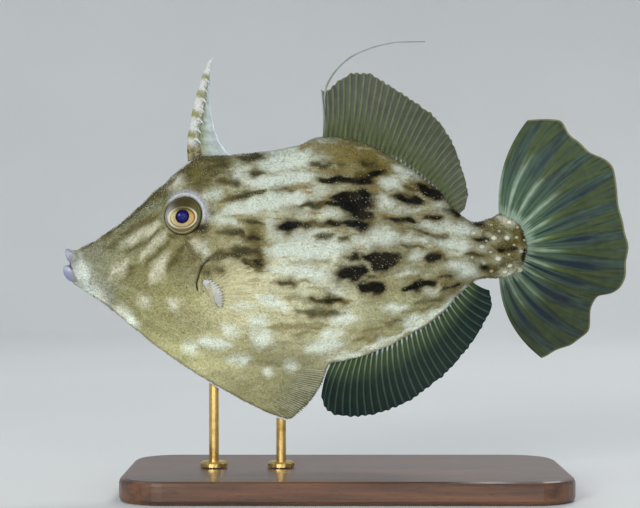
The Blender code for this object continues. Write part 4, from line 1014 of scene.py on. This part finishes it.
def build_coat(skin, look):
    """Small spinules that lean towards the tail, their roots in the skin and their tips pale."""
    quads, places = skin["faces"][0], skin["map"][0]
    corners = skin["points"][quads]
    facing = np.cross(corners[:, 2] - corners[:, 0], corners[:, 3] - corners[:, 1])
    area = np.linalg.norm(facing, axis=1) / 2
    middle = corners.mean(1)
    x, y, z = middle.T
    outward = np.sign(facing[:, 1] * y).sum()
    facing = unit(facing) * (1 if outward > 0 else -1)
    edge = np.minimum(back(x) - z, z - belly(x))
    dense = area * (1 + 1.5 * np.exp(-edge / 1.5))
    dense *= (np.abs(slit_reach(x, z)) > 0.5) & (x > SNOUT_X + 1.0)
    for side in (-1, 1):
        eye = frame_on_flank(side, EYE_X, EYE_Z)[0]
        dense *= np.linalg.norm(middle - eye, axis=1) >= EYE_RADIUS + 0.5
    for number, (zone, (low, high, count)) in enumerate(COAT.items()):
        draw = np.random.default_rng(20 + number)
        weight = dense * ((x >= low) & (x < high))
        chosen = draw.choice(len(quads), count, p=weight / weight.sum())
        s, t = draw.uniform(0, 1, (2, count))
        share = np.stack([(1 - s) * (1 - t), s * (1 - t), s * t, (1 - s) * t], 1)
        root = np.einsum("nk,nkd->nd", share, corners[chosen])
        home = np.einsum("nk,nkd->nd", share, places[chosen])
        at_x, _, at_z = root.T
        flap = eased(at_x, -24, -10) * (1 - eased(at_z, 29, 34))
        smooth = 1 - eased(at_z, 38, 50)
        stand = draw.uniform(0.25, 0.6, count) + 0.3 * np.exp(-edge[chosen] / 0.8)
        size = draw.uniform(0.6, 1.25, count) * (1 + 0.5 * flap) * (1 - 0.3 * smooth)
        by_eye = hill(np.hypot(at_x - EYE_X, at_z - EYE_Z), 7.0, 1.7)
        on_head = at_x < -34
        # Painted highlight: extra pale spinules along the head's outline draw a bright glint line on its
        # edge.
        outline_glint = 0.45 * np.exp(-edge[chosen] / 0.9) * on_head * (1 - smooth)
        bright = draw.uniform(0, 1, count) < 0.045 + 0.03 * on_head + 0.26 * by_eye + outline_glint
        pale = np.where(bright, draw.uniform(0.5, 1.0, count), 0.04 * draw.uniform(0, 1, count))
        radius = SPINULE_RADIUS * draw.uniform(0.8, 1.3, count) * (1 + 0.9 * bright)
        shape = spinules(root, facing[chosen], home, stand, SPINULE_LONG * size, radius)
        tips = (pale[:, None] * np.array([0, 0, 0, 0.8, 0.8, 0.8, 1.0])).reshape(-1)
        roots = np.repeat(root, 7, 0)
        skin_piece(f"spinules_{zone}", shape, look, extras_at(roots, tips), at=roots)


# Eyes, nostrils and lips


def revolved(at, axes, profile, count):
    """A closed body turned about an axis. profile has each ring's middle, half sizes and height."""
    facing, tailward, upward = axes
    turn = circle(count)
    rings = []
    for cx, cz, rx, rz, out in profile:
        across, up = (cx + rx * np.cos(turn))[:, None], (cz + rz * np.sin(turn))[:, None]
        rings.append(at + out * facing + across * tailward + up * upward)
    return tube(rings)


def iris_colours(a, b):
    """Colours of the eye's front, towards the tail and up from its middle, and how much they shine."""
    r, turn = np.hypot(a, b), np.arctan2(b, a)
    q = np.hypot((a - IRIS["at"][0]) / IRIS["half"][0], (b - IRIS["at"][1]) / IRIS["half"][1])
    lens_a, lens_b = a - PUPIL["at"][0], b - PUPIL["at"][1]
    pupil_at = np.hypot(lens_a, lens_b)
    up, down = eased(np.sin(turn), -0.1, 0.9), eased(-np.sin(turn), -0.2, 0.9)
    left, right, low = (np.clip(way, 0, 1) for way in (-np.cos(turn), np.cos(turn), -np.sin(turn)))

    def over(colour, share, tone):
        share = np.asarray(share)[..., None]
        return colour * (1 - share) + linear(tone) * share

    def towards(angle, sharp):
        return np.clip(np.cos(turn - angle), 0, 1) ** sharp

    # The skin fold round the iris: olive, and darkened towards the top as painted shade, where the fold over
    # the eye lies in shadow.
    lid = over(linear((108, 98, 62)) + 0 * r[:, None], up, (58, 52, 26))
    lid = over(lid, 0.8 * right**3, (84, 86, 50))
    lid = over(lid, 0.85 * left**4, (152, 148, 150))
    lid = over(lid, 0.7 * hill(r, 4.62, 0.12) * (0.25 + 0.75 * down), (164, 158, 126))
    lid = over(lid, 0.5 * hill(r, 4.35, 0.08), (60, 54, 32))
    # Painted shadow: a thin dark line at the eyeball's edge, for the groove between the eye and its socket.
    lid = over(lid, eased(r, 4.88, 5.02), (46, 42, 28))
    iris = linear((158, 142, 106)) + 0 * r[:, None]
    iris = over(iris, 0.7 * towards(2.4, 3), (172, 156, 128))
    iris = over(iris, 0.7 * towards(1.1, 3), (112, 106, 78))
    outer = eased(q, 0.52, 0.68)
    iris = over(iris, outer * left**1.5, (190, 184, 134))
    iris = over(iris, outer * towards(-0.25, 4), (170, 132, 68))
    # Painted shade: the iris's outer part is darker towards the top, under the fold.
    iris = over(iris, 0.9 * outer * up, (88, 78, 44))
    # Painted shadow along the bottom of the iris's outer part.
    iris = over(iris, 0.6 * eased(q, 0.7, 0.95) * low**4, (104, 88, 62))
    lines = np.clip(hill(q, 0.8, 0.045) + 0.6 * hill(q, 0.64, 0.02) * left, 0, 1)
    drawn = 0.55 + 0.45 * np.maximum(right, left * low * 1.6).clip(0, 1)
    iris = over(iris, 0.95 * lines * drawn, (58, 48, 22))
    # The pale outer ring. It is left out at the top, under the fold's painted shade, and it fades at the
    # very bottom.
    iris = over(iris, eased(q, 0.85, 0.89) * (1 - 0.96 * up) * (1 - 0.8 * low**5), (180, 180, 164))
    in_lid = eased(q, 0.97, 1.01)
    colour = iris * (1 - in_lid[:, None]) + lid * in_lid[:, None]
    lens = 1 - eased(pupil_at, PUPIL["radius"] - 0.02, PUPIL["radius"] + 0.06)
    colour = over(colour, lens, (6, 6, 16))
    colour = over(colour, lens * (1 - eased(pupil_at, 1.0, 1.6)), (10, 8, 92))
    # Painted highlight: a small pale glint at the upper front of the pupil.
    colour = over(colour, 0.8 * lens * spot_at(lens_a, lens_b, -0.8, 0.42, 0.05), (140, 136, 214))
    colour = over(colour, 0.6 * lens * spot_at(lens_a, lens_b, 0.45, 0.2, 0.05), (26, 76, 128))
    shine = (1 - in_lid) * (1 - lens)
    return np.concatenate([colour, shine[:, None]], 1)


def build_eyes():
    """Each eye is a ball whose iris lies in a dip round the lens, with a clear cornea over both."""
    iris, cornea = eye_look(), cornea_look()
    wide = EYE_RADIUS + 0.1
    middle, half = np.array(IRIS["at"]), np.array(IRIS["half"])
    hole, pupil = np.array(PUPIL["at"]), PUPIL["radius"]
    for side, word in SIDES:
        skin_point, facing, tailward, upward = frame_on_flank(side, EYE_X, EYE_Z)
        at, axes = skin_point - facing * EYE_SINK, (facing, tailward, upward)
        profile = [(0, 0, wide, wide, -1.0), (0, 0, wide, wide, -0.4)]
        for s in np.linspace(0, 1, 26):
            reach = wide * (1 - s) + half * s
            out = EYE_DEPTH * math.sqrt(max(0.0, 1 - (reach.mean() / wide) ** 2))
            profile.append((*(middle * s), *reach, out))
        shelf = profile[-1][-1]
        for s in np.linspace(1, 0, 34)[1:-1]:
            reach = pupil + (half - pupil) * s
            out = shelf - 0.4 + 0.45 * (1 - s) + 0.35 * s**6
            profile.append((*(middle * s + hole * (1 - s)), *reach, out))
        lip = profile[-1][-1]
        for s in np.linspace(1, 0.05, 14):
            profile.append((*hole, pupil * s, pupil * s, lip - 0.1 + 0.4 * (1 - s * s)))
        ball = revolved(at, axes, profile, 128)
        off = ball["points"] - at
        paint = iris_colours(off @ tailward, off @ upward)
        piece(f"eyeball_{word}", ball, iris, "eye", (f"eye_{word}",), iris=paint)
        outer = []
        for s in np.linspace(1, 0.03, 24):
            out = shelf - 0.04 + (EYE_DEPTH + 0.1 - shelf) * (1 - s**2.2)
            outer.append((*(middle * s), *(half * s + 0.1), out))
        inner = [(a, b, c - 0.03, d - 0.03, out - 0.06) for a, b, c, d, out in outer[::-1]]
        piece(f"cornea_{word}", revolved(at, axes, inner[:-1] + outer, 96), cornea, "eye")


def build_nostrils(look):
    """Two pits on each side, each in a low pale rim."""
    profile = [(0, 0, *ring) for ring in NOSTRIL_RINGS]
    shapes, extras = [], []
    for side in (-1, 1):
        for x, z in NOSTRILS:
            at, *axes = frame_on_flank(side, x, z)
            shapes.append(revolved(at - axes[0] * COAT_DEPTH, axes, profile, 28))
            off = shapes[-1]["points"] - at
            r = np.hypot(off @ axes[1], off @ axes[2])
            rim = 0.3 * eased(r, 0.26, 0.36) * (1 - eased(r, 0.5, 0.72))
            # The pits are painted near black as shade, inside pale rims.
            extras.append(np.stack([1 - eased(r, 0.24, 0.33), rim, 0 * r, 0 * r], 1))
    skin_piece("nostrils", joined(shapes), look, np.concatenate(extras))


def build_tubercles(look):
    """Rounded pale knobs on the tail stem, and rows of smaller ones on the head and the flank."""
    shapes, extras = [], []
    draw = np.random.default_rng(41)
    knobs = [(x, z, 1.8 * radius) for x, z, radius in TUBERCLES]
    for x1, z1, x2, z2, count in GRANULES:
        for share in np.linspace(0, 1, count):
            slip = draw.uniform(-0.15, 0.15, 2)
            x, z = x1 + (x2 - x1) * share + slip[0], z1 + (z2 - z1) * share + slip[1]
            knobs.append((x, z, draw.uniform(0.14, 0.2)))
    for side in (-1, 1):
        for x, z, radius in knobs:
            x, z = x + draw.uniform(-0.3, 0.3) * (side > 0), z + draw.uniform(-0.5, 0.5) * (side > 0)
            at, *axes = frame_on_flank(side, x, z)
            profile = [(0, 0, radius * 1.05, radius * 0.85, -0.4)]
            for s in np.linspace(0, 0.94, 10):
                level, out = math.cos(s * math.pi / 2), math.sin(s * math.pi / 2)
                wide, tall = radius * level, radius * 0.8 * level
                profile.append((0.15 * (1 - s), 0, wide, tall, 0.75 * radius * out))
            shapes.append(revolved(at - axes[0] * COAT_DEPTH, axes, profile, 24))
            rise = (shapes[-1]["points"] - at) @ axes[0]
            tip = (0.3 + 0.3 * radius) * draw.uniform(0.7, 1.15) * eased(rise, -0.3, 0.9 * radius)
            extras.append(np.stack([0 * rise, 0 * rise, tip, 0 * rise], 1))
    skin_piece("tubercles", joined(shapes), look, np.concatenate(extras))


def wire(path, out, ways, radii, count):
    """A round wire along a side-view path, this far out from the midplane."""
    rings = []
    for p, y, way, radius in zip(path, out, ways, radii):
        level = np.array([-way[1], 0, way[0]])
        rings.append(np.array([p[0], y, p[1]]) + radius * hoop(circle(count), level, np.array([0, 1, 0])))
    return tube(rings)


def build_ribs(look):
    """Fine ribs that fan out over the rear of the belly flap and end in its toothed edge."""
    draw = np.random.default_rng(51)
    share = np.linspace(0, 1, 26)
    thin = np.clip(np.minimum(share / 0.35, (1.02 - share) / 0.1), 0.05, 1)
    shapes = []
    for side in (-1, 1):
        for tip in along(FLAP_EDGE, np.linspace(0, 1, FLAP_RIBS)):
            way = tip - FLAP_FAN
            way = way / np.hypot(*way)
            start = tip - way * RIB_LONG * draw.uniform(0.75, 1.1)
            end = tip + way * draw.uniform(0.1, 0.35)
            path = start + (end - start) * share[:, None]
            y = flank(path[:, 0], np.maximum(path[:, 1], belly(path[:, 0]) + 0.02))
            shapes.append(wire(path, side * (y - 0.1), [way] * len(path), RIB_RADIUS * thin, 8))
    shape = joined(shapes)
    skin_piece("flap_ribs", shape, look, extras_at(shape["points"], 0.22))


def build_lobes(look):
    """The fleshy, pleated base of each pectoral fin."""
    share = np.linspace(0, 1, 120)
    path = along(PECTORAL_LOBE, share)
    ahead = unit(np.gradient(path, axis=0))
    turn = circle(28)
    for side, word in SIDES:
        rings = []
        for p, way, s in zip(path, ahead, share):
            full = math.sqrt(max(0.02, math.sin(math.pi * min(1, s * 0.94 + 0.03))))
            pleat = 1 + 0.16 * math.sin(2 * math.pi * LOBE_TEETH * s) * np.clip(np.cos(turn), 0, 1)
            wide, thick = LOBE_WIDE * full, LOBE_THICK * full
            x = p[0] - way[1] * wide * np.cos(turn) * pleat
            z = p[1] + way[0] * wide * np.cos(turn) * pleat
            y = flank(p[0], p[1]) + 0.45 + thick * np.sin(turn) * pleat
            rings.append(np.stack([x, side * y, z], 1))
        shape = tube(rings)
        paint = np.zeros((len(shape["points"]), 4))
        paint[:, 3] = 0.5
        crest = 0.5 + 0.5 * np.sin(2 * math.pi * LOBE_TEETH * share)[:, None]
        paint[:-2, 0] = (crest * np.clip(np.cos(turn), 0, 1) ** 2).reshape(-1)
        paint[:-2, 1] = np.tile(0.5 - 0.5 * np.cos(turn), len(share))
        piece(f"pectoral_lobe_{word}", shape, look, "pectoral_fin", fin=paint)


def lip_shape(lip):
    """A fleshy lip bent round the snout, with each point's place round the snout and round the lip."""
    share = np.linspace(-0.99, 0.99, LIP_RINGS)
    turn = circle(LIP_ROUND)
    out_way, up_way = (np.sign(w) * np.abs(w) ** 0.9 for w in (np.cos(turn), np.sin(turn)))
    front, corner, half, corner_half = (np.array(lip[k]) for k in ("front", "corner", "half", "corner_half"))
    rings = []
    for s in share:
        a = s * LIP_TURN
        ahead = max(0.0, math.cos(a))
        full = math.sqrt(1 - s**8) * (1 + 0.02 * math.sin(37 * s) + 0.014 * math.sin(83 * s + 1))
        middle = corner + (front - corner) * math.cos(a)
        reach = (corner_half + (half - corner_half) * ahead) * full
        facing = unit(np.array([-math.cos(a) / abs(front[0] - corner[0]), math.sin(a) / LIP_HALF]))
        up = reach[1] * up_way
        out = reach[0] * out_way + LIP_SLANT * ahead * up
        y = LIP_HALF * math.sin(a) + out * facing[1]
        rings.append(np.stack([middle[0] + out * facing[0], y, middle[1] + up], 1))
    ahead = np.append(np.repeat(np.cos(share * LIP_TURN), LIP_ROUND), [0, 0])
    around = np.append(np.tile(turn, LIP_RINGS), [0, 0])
    return tube(rings), ahead, (around + math.pi) % (2 * math.pi) - math.pi


def build_lips():
    look = lip_look()
    lips = (("upper_lip", UPPER_LIP, 0.45, -1.5), ("lower_lip", LOWER_LIP, 0.85, 1.8))
    for name, lip, rim_at, crease_shade_at in lips:
        shape, ahead, around = lip_shape(lip)
        # The pale upper edge: partly the lip's own colour, partly a painted highlight.
        rim = hill(around, rim_at, 0.55) * eased(ahead, -0.1, 0.7)
        x, _, z = shape["points"].T
        # Painted shade in the crease where the two lips meet, and along the mouth line.
        crease_shade = np.maximum(hill(around, crease_shade_at, 0.42), gape(x, z))
        behind = eased(x + 0.13 * (z - 57), -73.0, -71.9)
        piece(name, shape, look, "lip", (name,), lip=np.stack([rim, crease_shade, behind], 1))
    # A dark core that fills the gap between the lips, painted dark as the shade of the open mouth.
    turn = circle(32)
    rings = []
    for a in np.linspace(0.05, math.pi - 0.05, 16):
        y, z = 1.9 * math.sin(a) * np.cos(turn), 59.4 + 2.4 * math.sin(a) * np.sin(turn)
        rings.append(np.stack([-71.9 - 1.4 * math.cos(a) + 0 * turn, y, z], 1))
    core = tube(rings)
    piece("mouth", core, look, "lip", lip=np.tile((0.0, 0.95, 0.0), (len(core["points"]), 1)))


# Spine, web, thread and fins


def cone(root, way, long, radius, bend, count=8, rings=6):
    """A hook that tapers from its root and bends over."""
    side = unit(np.cross(way, bend))
    third = np.cross(way, side)
    made = []
    for s in np.linspace(0, 1, rings):
        centre = root + way * long * s + bend * long * 0.35 * s * s
        reach = radius * (1 - s) ** 0.8 + 0.01
        made.append(centre + reach * hoop(circle(count), side, third))
    return tube(made)


def on_spine(share, front, rear):
    """A point this share of the way up the spine, weighed between its front and its rear line."""
    return front * along(SPINE_FRONT, share) + rear * along(SPINE_REAR, share)


def build_spine(look):
    share = np.linspace(0, 1, 120)
    front, rear = along(SPINE_FRONT, share), along(SPINE_REAR, share)
    turn = circle(36)
    taper = SPINE_TIP_HALF - SPINE_HALF
    rings = []
    for f, r, s in zip(front, rear, share):
        middle, reach = (f + r) / 2, (f - r) / 2
        groove = 1 - 0.16 * hill(np.cos(turn), -0.45, 0.3)
        bumps = 1 + 0.035 * ripple(turn * 3, s * 90 + 0 * turn, 31, 2.2) * (1 - s)
        x = middle[0] + reach[0] * np.cos(turn) * bumps
        z = middle[1] + reach[1] * np.cos(turn) * bumps
        rings.append(np.stack([x, (SPINE_HALF + taper * s) * np.sin(turn) * groove * bumps, z], 1))
    shapes = [tube(rings)]
    points = [np.zeros(len(shapes[0]["points"]))]
    draw = np.random.default_rng(33)
    for side in (-1, 1):
        for s in np.linspace(0.16, 0.86, BARBS):
            size = (1.15 - 0.5 * s) * draw.uniform(0.85, 1.1)
            at = on_spine(s, 0.26, 0.74)
            thick = (SPINE_HALF + taper * s) * 0.75
            way = unit(np.array([0.85, side * 0.45, -0.45]))
            start = np.array([at[0] - 0.3, side * thick * 0.75, at[1] + 0.4])
            hook = cone(start, way, BARB_LONG * size, BARB_RADIUS * size, np.array([0.1, 0, -1.0]), 10, 8)
            shapes.append(hook)
            out = np.linalg.norm(hook["points"] - hook["points"][0], axis=1)
            points.append(0.6 * out / (BARB_LONG * size))
        for s in np.linspace(0.04, 0.93, 46):
            at = on_spine(s, 0.93, 0.07)
            thick = (SPINE_HALF + taper * s) * draw.uniform(0.05, 0.5)
            way = unit(np.array([-0.8, side * draw.uniform(0.1, 0.7), 0.3]))
            start = np.array([at[0] + 0.12, side * thick, at[1]])
            shapes.append(cone(start, way, 0.42, 0.17, np.array([0, 0, 1.0])))
            points.append(np.full(len(shapes[-1]["points"]), 0.25))
    shape = joined(shapes)
    x, _, z = shape["points"].T
    band = sum(hill(z + 0.35 * (x + 39), at, half) for at, half in SPINE_BANDS)
    middle = on_spine(share, 0.35, 0.65)
    behind = eased(x - np.interp(z, middle[:, 1], middle[:, 0]), -0.3, 0.5) * (1 - eased(z, 106, 110))
    bands = np.stack([band, np.concatenate(points), behind, 1 - eased(z, 89.5, 92.5)], 1)
    piece("spine", shape, look, "spine", ("dorsal_spine",), bands=bands)


def build_thread(look):
    """The long first ray, which grows out of the fin's edge where the fin swings to one side."""
    share = np.linspace(0, 1, 160)
    path = along(THREAD, share)
    swing = 0.65 * eased(path[:, 1], 96, 106.5) * (1 - share)
    taper = THREAD_TIP - THREAD_RADIUS
    radii = [(THREAD_RADIUS + taper * s) * (1 + 0.06 * math.sin(s * 240)) for s in share]
    radii = radii * eased(share, -0.05, 0.12)
    shape = wire(path, swing, unit(np.gradient(path, axis=0)), radii, 14)
    out = np.append(np.repeat(0.3 + 0.6 * share, 14), [0.3, 0.9])
    paint = np.stack([np.ones_like(out), out, 0 * out, 0 * out + 0.24], 1)
    piece("thread", shape, look, "fin", ("dorsal_thread",), fin=paint)


def ray_ridge(phase, u, branched):
    """How near each point lies to a ray, 1 on its crest. A branched ray parts in two, and then again."""
    off = phase - np.round(phase)
    if not branched:
        return hill(off, 0, 0.2 - 0.07 * u)
    first, second = 0.2 * eased(u, 0.22, 1.0), 0.09 * eased(u, 0.5, 1.0)
    narrow = 0.13 - 0.075 * u
    crests = [hill(off - a * first, b * second, narrow) for a in (-1, 1) for b in (-1, 1)]
    return np.max(crests, axis=0)


def fin_shape(
    root, edge, across, rays, steps, rows, bow, ray_half,
    branched=False, root_half=0.5, fray=0.14, stain=None,
):
    """A membrane between its root line and its free edge, with raised, jointed rays.

    across gives each point's place from side to side, bow how far the first and the last ray bend,
    root_half the fleshy root's half thickness, fray how ragged the edge is, and stain where the dark and
    pale strokes are.
    """
    v = np.linspace(0, 1, (rays - 1) * steps + 1)
    u = np.linspace(0, 1, rows)
    phase = v * (rays - 1)
    start, end = along(root, v), along(edge, v)
    chord = end - start
    notch = np.sin(math.pi * (phase - np.floor(phase))) ** 2 * 0.22
    end = end - unit(chord) * (notch + fray * ripple(phase, 0 * phase, 71, 0.9))[:, None]
    square = np.stack([-chord[:, 1], chord[:, 0]], 1)
    control = (start + end) / 2 + square * (bow[0] + (bow[1] - bow[0]) * v)[:, None]
    left, right, near, marked = [], [], [], []
    for s in u:
        flat = start * (1 - s) ** 2 + 2 * control * s * (1 - s) + end * s * s
        crest = ray_ridge(phase, np.full_like(v, s), branched)
        fleshy = max(0.0, 1 - s / 0.1) ** 2
        skin = MEMBRANE_HALF * (1 - 0.4 * s)
        joint = 1 + 0.1 * math.sin(s * rows * 1.9) * eased(s, 0.15, 0.4)
        half = skin + crest * (ray_half * (1 - 0.75 * s) * joint - 0.3 * skin)
        half = half + fleshy * np.maximum(0, root_half - half)
        y = across(flat, s, v)
        left.append(np.stack([flat[:, 0], y - half, flat[:, 1]], 1))
        right.append(np.stack([flat[:, 0], y + half, flat[:, 1]], 1))
        near.append(crest)
        marked.append(0.5 + 0 * v if stain is None else stain(flat, s, phase, crest))
    shape = sheet(np.array(left), np.array(right))
    near = np.array(near)
    values = [near, u[:, None] + 0 * near, v[None] + 0 * near, np.array(marked)]
    shape["fin"] = np.stack([np.concatenate([a, a[:, ::-1]], 1) for a in values], -1).reshape(-1, 4)
    return shape


def wave(height, count):
    """A fin in the midplane that swings from side to side towards its edge."""
    return lambda flat, u, v: height * u * np.sin(2 * math.pi * count * v + 0.6)


def off_flank(side):
    """A fan that stands off the flank behind the gill slit, further out towards its edge."""

    def across(flat, u, v):
        reach = np.hypot(*(flat - np.mean(PECTORAL_ROOT, axis=0)).T)
        lift = PECTORAL_LIFT + reach * PECTORAL_SPREAD * min(1, u * 1.6)
        return side * (flank(flat[:, 0], flat[:, 1]) + lift)

    return across


def caudal_streaks(flat, out, phase, crest):
    """Blue streaks between the caudal rays, and pale roots on the rays."""
    gap = np.minimum(phase.astype(int), len(CAUDAL_STREAKS) - 1)
    strength, start, end = np.array(CAUDAL_STREAKS)[gap].T
    middle = hill(phase - gap - 0.5, 0.12 * np.sin(2.4 * gap), 0.1 + 0.07 * out)
    dark = strength * middle * eased(out, start, start + 0.1) * (1 - eased(out, end - 0.35, end))
    dark = dark * (0.85 + 0.25 * ripple(phase * 5, 3 * out + 0 * phase, 61, 2.0))
    long = np.interp(phase, np.arange(len(CAUDAL_PALE)), CAUDAL_PALE)
    pale = np.maximum(crest**0.6 * (1 - eased(out, 0.3 * long, long)), 0.8 * (1 - eased(out, 0.04, 0.16)))
    return 0.5 + 0.5 * dark - 0.5 * pale * (1 - np.clip(dark, 0, 1))


def root_strokes(first_x, last_x, reach, front=0.0):
    """Short bluish strokes at the rays' roots between two places along the fish, and a pale front ray."""

    def stain(flat, out, phase, crest):
        here = eased(flat[:, 0], first_x, first_x + 4) * (1 - eased(flat[:, 0], last_x - 4, last_x))
        strokes = 0.4 * crest * here * (1 - eased(out, 0.4 * reach, reach))
        return 0.5 - np.maximum(strokes, front * hill(phase, 0, 0.45))

    return stain


def root_line(ends, height, lift):
    """A fin's root line between two places along the fish, moved off the back or the belly."""
    x = ends[0] + (ends[1] - ends[0]) * np.linspace(0, 1, 60)
    return offset(np.stack([x, height(x)], 1), lift)


def build_fins():
    looks = {name: fin_look(name, **values) for name, values in FIN_LOOKS.items()}

    def fin_piece(name, look, slot, node, *lines, **settings):
        shape = fin_shape(*lines, **settings)
        piece(name, shape, looks[look], slot, (node,), fin=shape["fin"])

    root = root_line(DORSAL_ROOT_X, back, -FIN_ROOT_SUNK)
    lines, stain = (root, DORSAL_EDGE, wave(*DORSAL_WAVE)), root_strokes(10, 29, 0.12, 0.3)
    fin_piece("dorsal_fin_web", "dorsal_membrane", "fin", "dorsal_fin", *lines, **DORSAL, stain=stain)
    build_thread(looks["dorsal_membrane"])
    root = root_line(ANAL_ROOT_X, belly, FIN_ROOT_SUNK)
    lines, stain = (root, ANAL_EDGE, wave(*ANAL_WAVE)), root_strokes(4, 38, 0.14)
    fin_piece("anal_fin_web", "anal_membrane", "anal_fin", "anal_fin", *lines, **ANAL, stain=stain)
    x = CAUDAL_ROOT_X + (TAIL_X - CAUDAL_ROOT_X) * np.sin(np.linspace(0, 1, 60) * math.pi / 2)
    stem = np.concatenate([np.stack([x, back(x)], 1), np.stack([x, belly(x)], 1)[-2::-1]])
    lines = offset(stem, -FIN_ROOT_SUNK), CAUDAL_EDGE, wave(*CAUDAL_WAVE)
    stain = caudal_streaks
    fin_piece("caudal_fin_web", "caudal_membrane", "fin", "caudal_fin", *lines, **CAUDAL, stain=stain)
    fin_piece("spine_web_skin", "spine_membrane", "fin", "spine_web", WEB_FRONT, WEB_REAR, wave(0, 0), **WEB)
    build_lobes(looks["pectoral_base"])
    for side, word in SIDES:
        lines = PECTORAL_ROOT, PECTORAL_EDGE, off_flank(side)
        name, node = f"pectoral_{word}_web", f"pectoral_fin_{word}"
        fin_piece(name, "pectoral_membrane", "pectoral_fin", node, *lines, **PECTORAL)


# Stand, floor, lights and camera


def dress_stand():
    wood, brass = wood_look(), brass_look()
    for name, look in (("stand_base", wood), ("stand_rod_front", brass), ("stand_rod_rear", brass)):
        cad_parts[name].material_slots[0].material = look


def build_floor():
    """A round studio floor that curves up into a wall, behind the fish from every side."""
    turn = circle(FLOOR_ROUND)
    profile = [(r, 0.0) for r in np.linspace(0.02, 0.9, 12)]
    bend = np.linspace(0, math.pi / 2, 24)[1:]
    profile += [(0.9 + 0.5 * math.sin(a), 0.5 - 0.5 * math.cos(a)) for a in bend] + [(1.4, 0.9), (1.4, 1.6)]
    rings = [np.stack([r * np.cos(turn), r * np.sin(turn), 0 * turn + z], 1) for r, z in profile]
    faces, _ = grid(len(profile), FLOOR_ROUND, True)
    centre = len(profile) * FLOOR_ROUND
    hub = [(k, (k + 1) % FLOOR_ROUND, centre) for k in range(FLOOR_ROUND)]
    mesh = bpy.data.meshes.new("studio_floor")
    mesh.from_pydata(np.concatenate(rings).tolist() + [(0, 0, 0)], [], faces.tolist() + hub)
    mesh.materials.append(floor_look())
    mesh.shade_smooth()
    floor = bpy.data.objects.new("studio_floor", mesh)
    bpy.context.scene.collection.objects.link(floor)


def lamp(name, at, size, power, colour=(1, 1, 1)):
    """A round soft lamp that faces the fish."""
    light = bpy.data.lights.new(name, "AREA")
    light.shape = "DISK"
    light.size, light.energy, light.color = size, power, colour
    made = bpy.data.objects.new(name, light)
    bpy.context.scene.collection.objects.link(made)
    made.location = at
    x, y, z = np.array(FISH_MIDDLE) - np.array(at)
    made.rotation_euler = (math.atan2(math.hypot(x, y), -z), 0, math.atan2(x, -y) + math.pi)


def build_light():
    world = bpy.data.worlds.new("studio")
    world.use_nodes = True
    ground = world.node_tree.nodes["Background"]
    ground.inputs["Color"].default_value = (0.86, 0.92, 1.0, 1)
    ground.inputs["Strength"].default_value = 0.7
    bpy.context.scene.world = world
    bpy.context.scene.view_settings.view_transform = "Standard"
    lamp("key", (-0.4, -0.85, 0.32), 0.4, 6.4, (1.0, 0.98, 0.95))
    lamp("fill", (0.25, -0.8, 0.1), 0.5, 2.0)
    lamp("back", (0.3, 0.7, 0.95), 0.5, 4.5)


def build_camera():
    eye = bpy.data.cameras.new("camera")
    eye.lens, eye.sensor_width = 100, 36
    eye.clip_start, eye.clip_end = 0.01, 20
    made = bpy.data.objects.new("camera", eye)
    bpy.context.scene.collection.objects.link(made)
    made.location = (-0.0069, -0.4711, 0.06254)
    made.rotation_euler = (math.pi / 2, 0, 0)
    bpy.context.scene.camera = made


skin_paint = skin_look("skin")
skin = build_skin(skin_paint)
build_coat(skin, skin_paint)
build_eyes()
build_nostrils(skin_paint)
build_tubercles(skin_paint)
build_ribs(skin_paint)
build_lips()
build_spine(spine_look())
build_fins()
dress_stand()
build_floor()
build_light()
build_camera()
